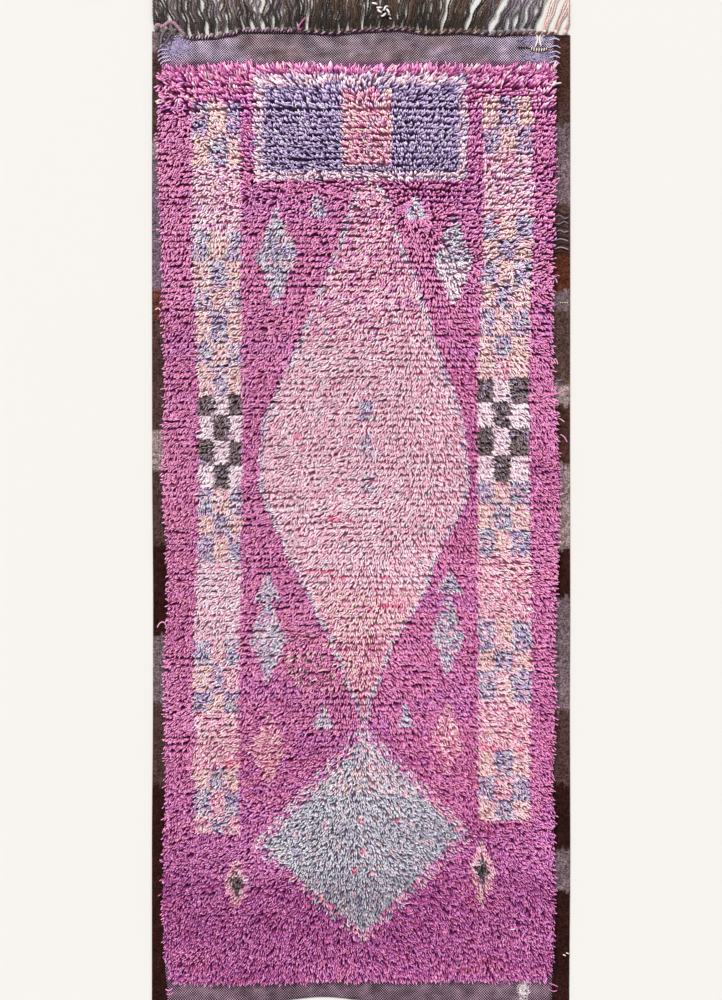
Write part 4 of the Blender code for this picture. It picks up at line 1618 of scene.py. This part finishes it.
# Loose threads: wefts that stand out of the worn corners, the mended slit, stray tufts and knots
# Columns: kind, radius, z, points
THREADS = (
    ("lilac", 0.0016, 0.0052, ((-0.478, 1.0875), (-0.500, 1.0845), (-0.508, 1.0780))),
    ("lilac", 0.0016, 0.0052, ((-0.478, 1.0790), (-0.499, 1.0745), (-0.506, 1.0670))),
    ("lilac", 0.0015, 0.0052, ((-0.476, 1.0700), (-0.495, 1.0655), (-0.501, 1.0590))),
    ("lilac", 0.0015, 0.0052, ((-0.480, 1.0965), (-0.500, 1.0955), (-0.508, 1.0890))),
    ("lilac", 0.0015, 0.0050, ((-0.482, 1.1060), (-0.497, 1.1080), (-0.503, 1.1000))),
    ("grey_brown", 0.0034, 0.0054, ((-0.456, 1.138), (-0.475, 1.135), (-0.484, 1.120), (-0.496, 1.102))),
    ("grey_brown", 0.0030, 0.0056, ((-0.468, 1.148), (-0.487, 1.145), (-0.498, 1.130), (-0.501, 1.108))),
    ("grey_brown", 0.0024, 0.0052, ((-0.504, 1.142), (-0.508, 1.120), (-0.503, 1.095))),
    ("lilac", 0.0016, 0.0054, ((0.470, 1.1190), (0.484, 1.1240), (0.496, 1.1195))),
    ("lilac", 0.0016, 0.0054, ((0.470, 1.1010), (0.486, 1.1055), (0.498, 1.1000))),
    ("lilac", 0.0015, 0.0054, ((0.472, 1.0875), (0.486, 1.0915), (0.498, 1.0860))),
    ("lilac", 0.0015, 0.0054, ((0.472, 1.0760), (0.486, 1.0800), (0.497, 1.0750))),
    ("lilac", 0.0015, 0.0054, ((0.470, 1.0620), (0.484, 1.0665), (0.496, 1.0610))),
    ("black", 0.0017, 0.0050, ((0.394, 1.1010), (0.408, 1.1015), (0.424, 1.0990))),
    ("black", 0.0040, 0.0050, ((0.422, 1.1000), (0.444, 1.0930), (0.467, 1.1005))),
    ("white", 0.0021, 0.0066, ((0.436, 1.141), (0.441, 1.121), (0.434, 1.101))),
    ("white", 0.0019, 0.0064, ((0.450, 1.142), (0.446, 1.122), (0.450, 1.104))),
    ("white", 0.0017, 0.0070, ((0.424, 1.133), (0.442, 1.136), (0.460, 1.130))),
    ("magenta", 0.0022, 0.0082, ((-0.138, 1.176), (-0.150, 1.162), (-0.156, 1.148), (-0.144, 1.144))),
    ("pink", 0.0016, 0.0180, ((0.448, 0.2230), (0.468, 0.2330), (0.488, 0.2360), (0.512, 0.2490))),
    ("pink", 0.0017, 0.0062, ((0.478, 0.3170), (0.486, 0.3230), (0.492, 0.3090))),
    ("pink", 0.0017, 0.0056, ((0.498, 0.1350), (0.508, 0.1280), (0.515, 0.1150))),
    ("pink", 0.0014, 0.0056, ((0.492, 0.1760), (0.500, 0.1720), (0.508, 0.1660))),
    ("black", 0.0016, 0.0050, ((0.492, 0.1930), (0.502, 0.1960), (0.512, 0.1900))),
    ("black", 0.0016, 0.0050, ((0.490, 0.1560), (0.502, 0.1570), (0.514, 0.1520))),
    ("black", 0.0015, 0.0050, ((0.488, 0.1380), (0.498, 0.1400), (0.506, 0.1330))),
    ("pink", 0.0017, 0.0054, ((-0.509, -0.348), (-0.502, -0.336), (-0.492, -0.334), (-0.486, -0.344))),
    ("pink", 0.0018, 0.0056, ((-0.514, 0.446), (-0.506, 0.450), (-0.500, 0.444))),
    ("lilac", 0.0014, 0.0054, ((0.478, 0.5290), (0.486, 0.5230), (0.490, 0.5130))),
    ("black", 0.0018, 0.0046, ((0.478, 0.6880), (0.492, 0.6930), (0.504, 0.6850), (0.519, 0.6860))),
    ("grey", 0.0019, 0.0050, ((0.480, 0.6760), (0.496, 0.6820), (0.508, 0.6740), (0.519, 0.6780))),
    ("grey", 0.0018, 0.0050, ((0.480, 0.6640), (0.494, 0.6600), (0.507, 0.6660), (0.519, 0.6600))),
    ("black", 0.0019, 0.0046, ((0.480, 0.6520), (0.494, 0.6570), (0.508, 0.6520), (0.519, 0.6480))),
    ("grey", 0.0020, 0.0050, ((0.482, 0.6380), (0.496, 0.6450), (0.507, 0.6400), (0.519, 0.6430))),
    ("black", 0.0024, 0.0046, ((0.480, 0.6280), (0.500, 0.6300), (0.519, 0.6260))),
    ("grey", 0.0021, 0.0052, ((0.482, 0.6190), (0.500, 0.6230), (0.519, 0.6170))),
    ("black", 0.0022, 0.0047, ((0.484, 0.6070), (0.500, 0.6130), (0.518, 0.6090))),
    ("grey", 0.0021, 0.0052, ((0.482, 0.5980), (0.500, 0.6020), (0.519, 0.5960))),
    ("black", 0.0019, 0.0047, ((0.482, 0.5900), (0.500, 0.5920), (0.518, 0.5870))),
    ("blue", 0.0014, 0.0178, ((0.366, 0.2770), (0.376, 0.2730), (0.386, 0.2780))),
    ("blue", 0.0013, 0.0054, ((0.488, 0.2700), (0.496, 0.2690), (0.502, 0.2730))),
    ("white", 0.0014, 0.0170, ((0.372, -1.0980), (0.379, -1.0990), (0.385, -1.0970))),
    ("blue", 0.0012, 0.0170, ((0.236, -1.1810), (0.240, -1.1840), (0.243, -1.1880))),
    ("cream", 0.0016, 0.0056, ((0.504, -1.1640), (0.508, -1.1655), (0.511, -1.1670))),
    ("cream", 0.0016, 0.0056, ((0.512, -1.1600), (0.516, -1.1605), (0.519, -1.1625))),
    ("magenta", 0.0017, 0.0056, ((-0.470, -1.2480), (-0.480, -1.2540), (-0.488, -1.2500))),
    ("magenta", 0.0017, 0.0056, ((-0.468, -1.2590), (-0.478, -1.2640), (-0.486, -1.2620))),
    ("magenta", 0.0017, 0.0056, ((0.470, -1.2360), (0.482, -1.2400), (0.492, -1.2450))),
    ("magenta", 0.0017, 0.0056, ((0.468, -1.2500), (0.480, -1.2560), (0.490, -1.2540))),
)
THREAD_STEPS = 12
THREAD_SHADES = (0.4, 0.9)

# The mended slit: cream stitches along a sagging line, each from its foot over its top
STITCH_X = (0.426, 0.432, 0.438, 0.4445, 0.451, 0.457, 0.463)
STITCH_Y = 1.0990
STITCH_SAG = 0.0052
SLIT_MIDDLE = 0.4445
SLIT_HALF = 0.022
STITCH = {"lean": 0.0008, "half": 0.0038, "foot": 0.0078, "top": 0.0096}
STITCH_RADIUS = 0.0015

# Small stitches along a block's edge on the right band
DOT_X = (0.499, 0.5045, 0.510, 0.5155)
DOT_Y = 0.4640
DOT = {"lean": 0.0014, "half": 0.001, "foot": 0.0044, "top": 0.0054}
DOT_RADIUS = 0.0011


def stitch(x, y, lean, half, foot, top):
    return [(x - lean, y - half, foot), (x, y, top), (x + lean, y + half, foot)]


def make_threads():
    """The loose threads, one piece for each kind of yarn."""
    rng = np.random.default_rng(71)
    lines = [(kind, radius, [point + (z,) for point in points]) for kind, radius, z, points in THREADS]
    for x in STITCH_X:
        sag = STITCH_SAG * (1 - ((x - SLIT_MIDDLE) / SLIT_HALF) ** 2)
        lines.append(("cream", STITCH_RADIUS, stitch(x, STITCH_Y - sag, **STITCH)))
    for x in DOT_X:
        lines.append(("cream", DOT_RADIUS, stitch(x, DOT_Y, **DOT)))
    found = {}
    for kind, radius, points in lines:
        rings = strand(curve_through(points, THREAD_STEPS), radius, 5)
        found.setdefault(kind, []).append((rings, rng.uniform(*THREAD_SHADES)))
    along = np.full(THREAD_STEPS, LOOSE_FADE)
    pieces = []
    for kind, made in found.items():
        rings, shades = zip(*made)
        pieces.append(add_strands(f"threads_{kind}", kind, rings, 5, shades, along))
    return pieces


# Matted patches: the middle, half width and half height of each, its yarn and how many short threads it has
# Columns: x, y, half_x, half_y, kind, threads
FELTS = (
    (-0.458, 1.104, 0.042, 0.032, "lilac", 420),
    (-0.482, 1.120, 0.020, 0.026, "grey", 160),
    (0.438, 1.122, 0.050, 0.020, "lilac", 250),
    (0.444, 1.076, 0.046, 0.022, "lilac", 240),
    (0.446, 1.124, 0.012, 0.017, "white", 110),
    (0.407, -1.250, 0.017, 0.034, "white", 200),
)
FELT_STEPS = 5
FELT_Z = 0.0036
FELT_RISE = 0.0016
FELT_SPREAD = 0.45
FELT_BEND = 0.7
FELT_LENGTH = (0.004, 0.009)
FELT_RADIUS = (0.0006, 0.0010)
FELT_SHADES = (0.1, 0.95)
FELT_FADE = 0.5


def make_felt():
    """Wool that wear has matted: short thin threads lying every way over the weave."""
    rng = np.random.default_rng(72)
    pieces = []
    for k, (x, y, half_x, half_y, kind, threads) in enumerate(FELTS):
        rings = []
        while len(rings) < threads:
            u, v = rng.normal(0, FELT_SPREAD, 2)
            if math.hypot(u, v) > 1:
                continue
            turn = rng.uniform(0, FULL_TURN)
            bend = rng.normal(0, FELT_BEND)
            length = rng.uniform(*FELT_LENGTH)
            at = np.linspace(-0.5, 0.5, FELT_STEPS)
            along, aside = length * at, length * bend * at**2
            line = np.stack([
                x + u * half_x + along * math.cos(turn) - aside * math.sin(turn),
                y + v * half_y + along * math.sin(turn) + aside * math.cos(turn),
                FELT_Z + FELT_RISE * (1 - 4 * at**2) * rng.uniform(0.4, 1),
            ], 1)
            rings.append(strand(line, rng.uniform(*FELT_RADIUS), 3))
        shades = rng.uniform(*FELT_SHADES, threads)
        pieces.append(add_strands(f"felt_{k + 1}", kind, rings, 3, shades, np.full(FELT_STEPS, FELT_FADE)))
    return pieces


# The picture: a camera straight above, a pale floor and soft studio light
FLOOR_SIZE = 9.0
CAMERA_HEIGHT = 5.0
CAMERA_Y = -0.0288
VIEW_HEIGHT = 2.5
FLOOR_COLOUR = (204, 202, 198)
FLOOR_Z = -0.0002


def make_stage():
    mesh = bpy.data.meshes.new("floor")
    half = FLOOR_SIZE / 2
    corners = [(-half, -half, 0), (half, -half, 0), (half, half, 0), (-half, half, 0)]
    mesh.from_pydata(corners, [], [(0, 1, 2, 3)])
    floor = bpy.data.objects.new("floor", mesh)
    floor.location.z = FLOOR_Z
    bpy.context.scene.collection.objects.link(floor)
    pale = Material("floor", roughness=0.85, specular=0.5)
    pale.colour(linear(FLOOR_COLOUR))
    mesh.materials.append(pale.made)


def make_camera():
    camera = bpy.data.cameras.new("camera")
    camera.sensor_width = 36.0
    camera.lens = camera.sensor_width * CAMERA_HEIGHT / VIEW_HEIGHT
    obj = bpy.data.objects.new("camera", camera)
    obj.location = (0.0, CAMERA_Y, CAMERA_HEIGHT)
    bpy.context.scene.collection.objects.link(obj)
    bpy.context.scene.camera = obj


KEY_DIRECTION = (-0.55, 0.75, 0.85)
KEY_STRENGTH = 3.2
KEY_ANGLE = math.radians(14)
FILL_STRENGTH = 0.85
FILL_COLOUR = (1.0, 0.99, 0.98, 1.0)


def make_light():
    key = bpy.data.lights.new("key", "SUN")
    key.energy = KEY_STRENGTH
    key.angle = KEY_ANGLE
    obj = bpy.data.objects.new("key", key)
    obj.rotation_mode = "QUATERNION"
    obj.rotation_quaternion = Vector(KEY_DIRECTION).to_track_quat("Z", "Y")
    bpy.context.scene.collection.objects.link(obj)
    world = bpy.data.worlds.new("studio")
    world.use_nodes = True
    sockets = world.node_tree.nodes["Background"].inputs
    sockets["Color"].default_value = FILL_COLOUR
    sockets["Strength"].default_value = FILL_STRENGTH
    bpy.context.scene.world = world
    bpy.context.scene.view_settings.view_transform = "Standard"


def main():
    make_stage()
    make_camera()
    make_light()
    ground = make_ground()
    left = make_band("band_left", "side_band_left", field_left, outer_left, BAND_LEFT, 51)
    right = make_band("band_right", "side_band_right", field_right, outer_right, BAND_RIGHT, 61)
    pile = make_pile() + [make_bed()]
    fringe = make_fringe()
    head = make_head()
    threads = make_threads() + make_felt()
    width = float(field_right(0.0) - field_left(0.0))
    length = float(upper_end(0.0) - lower_end(0.0))


main()
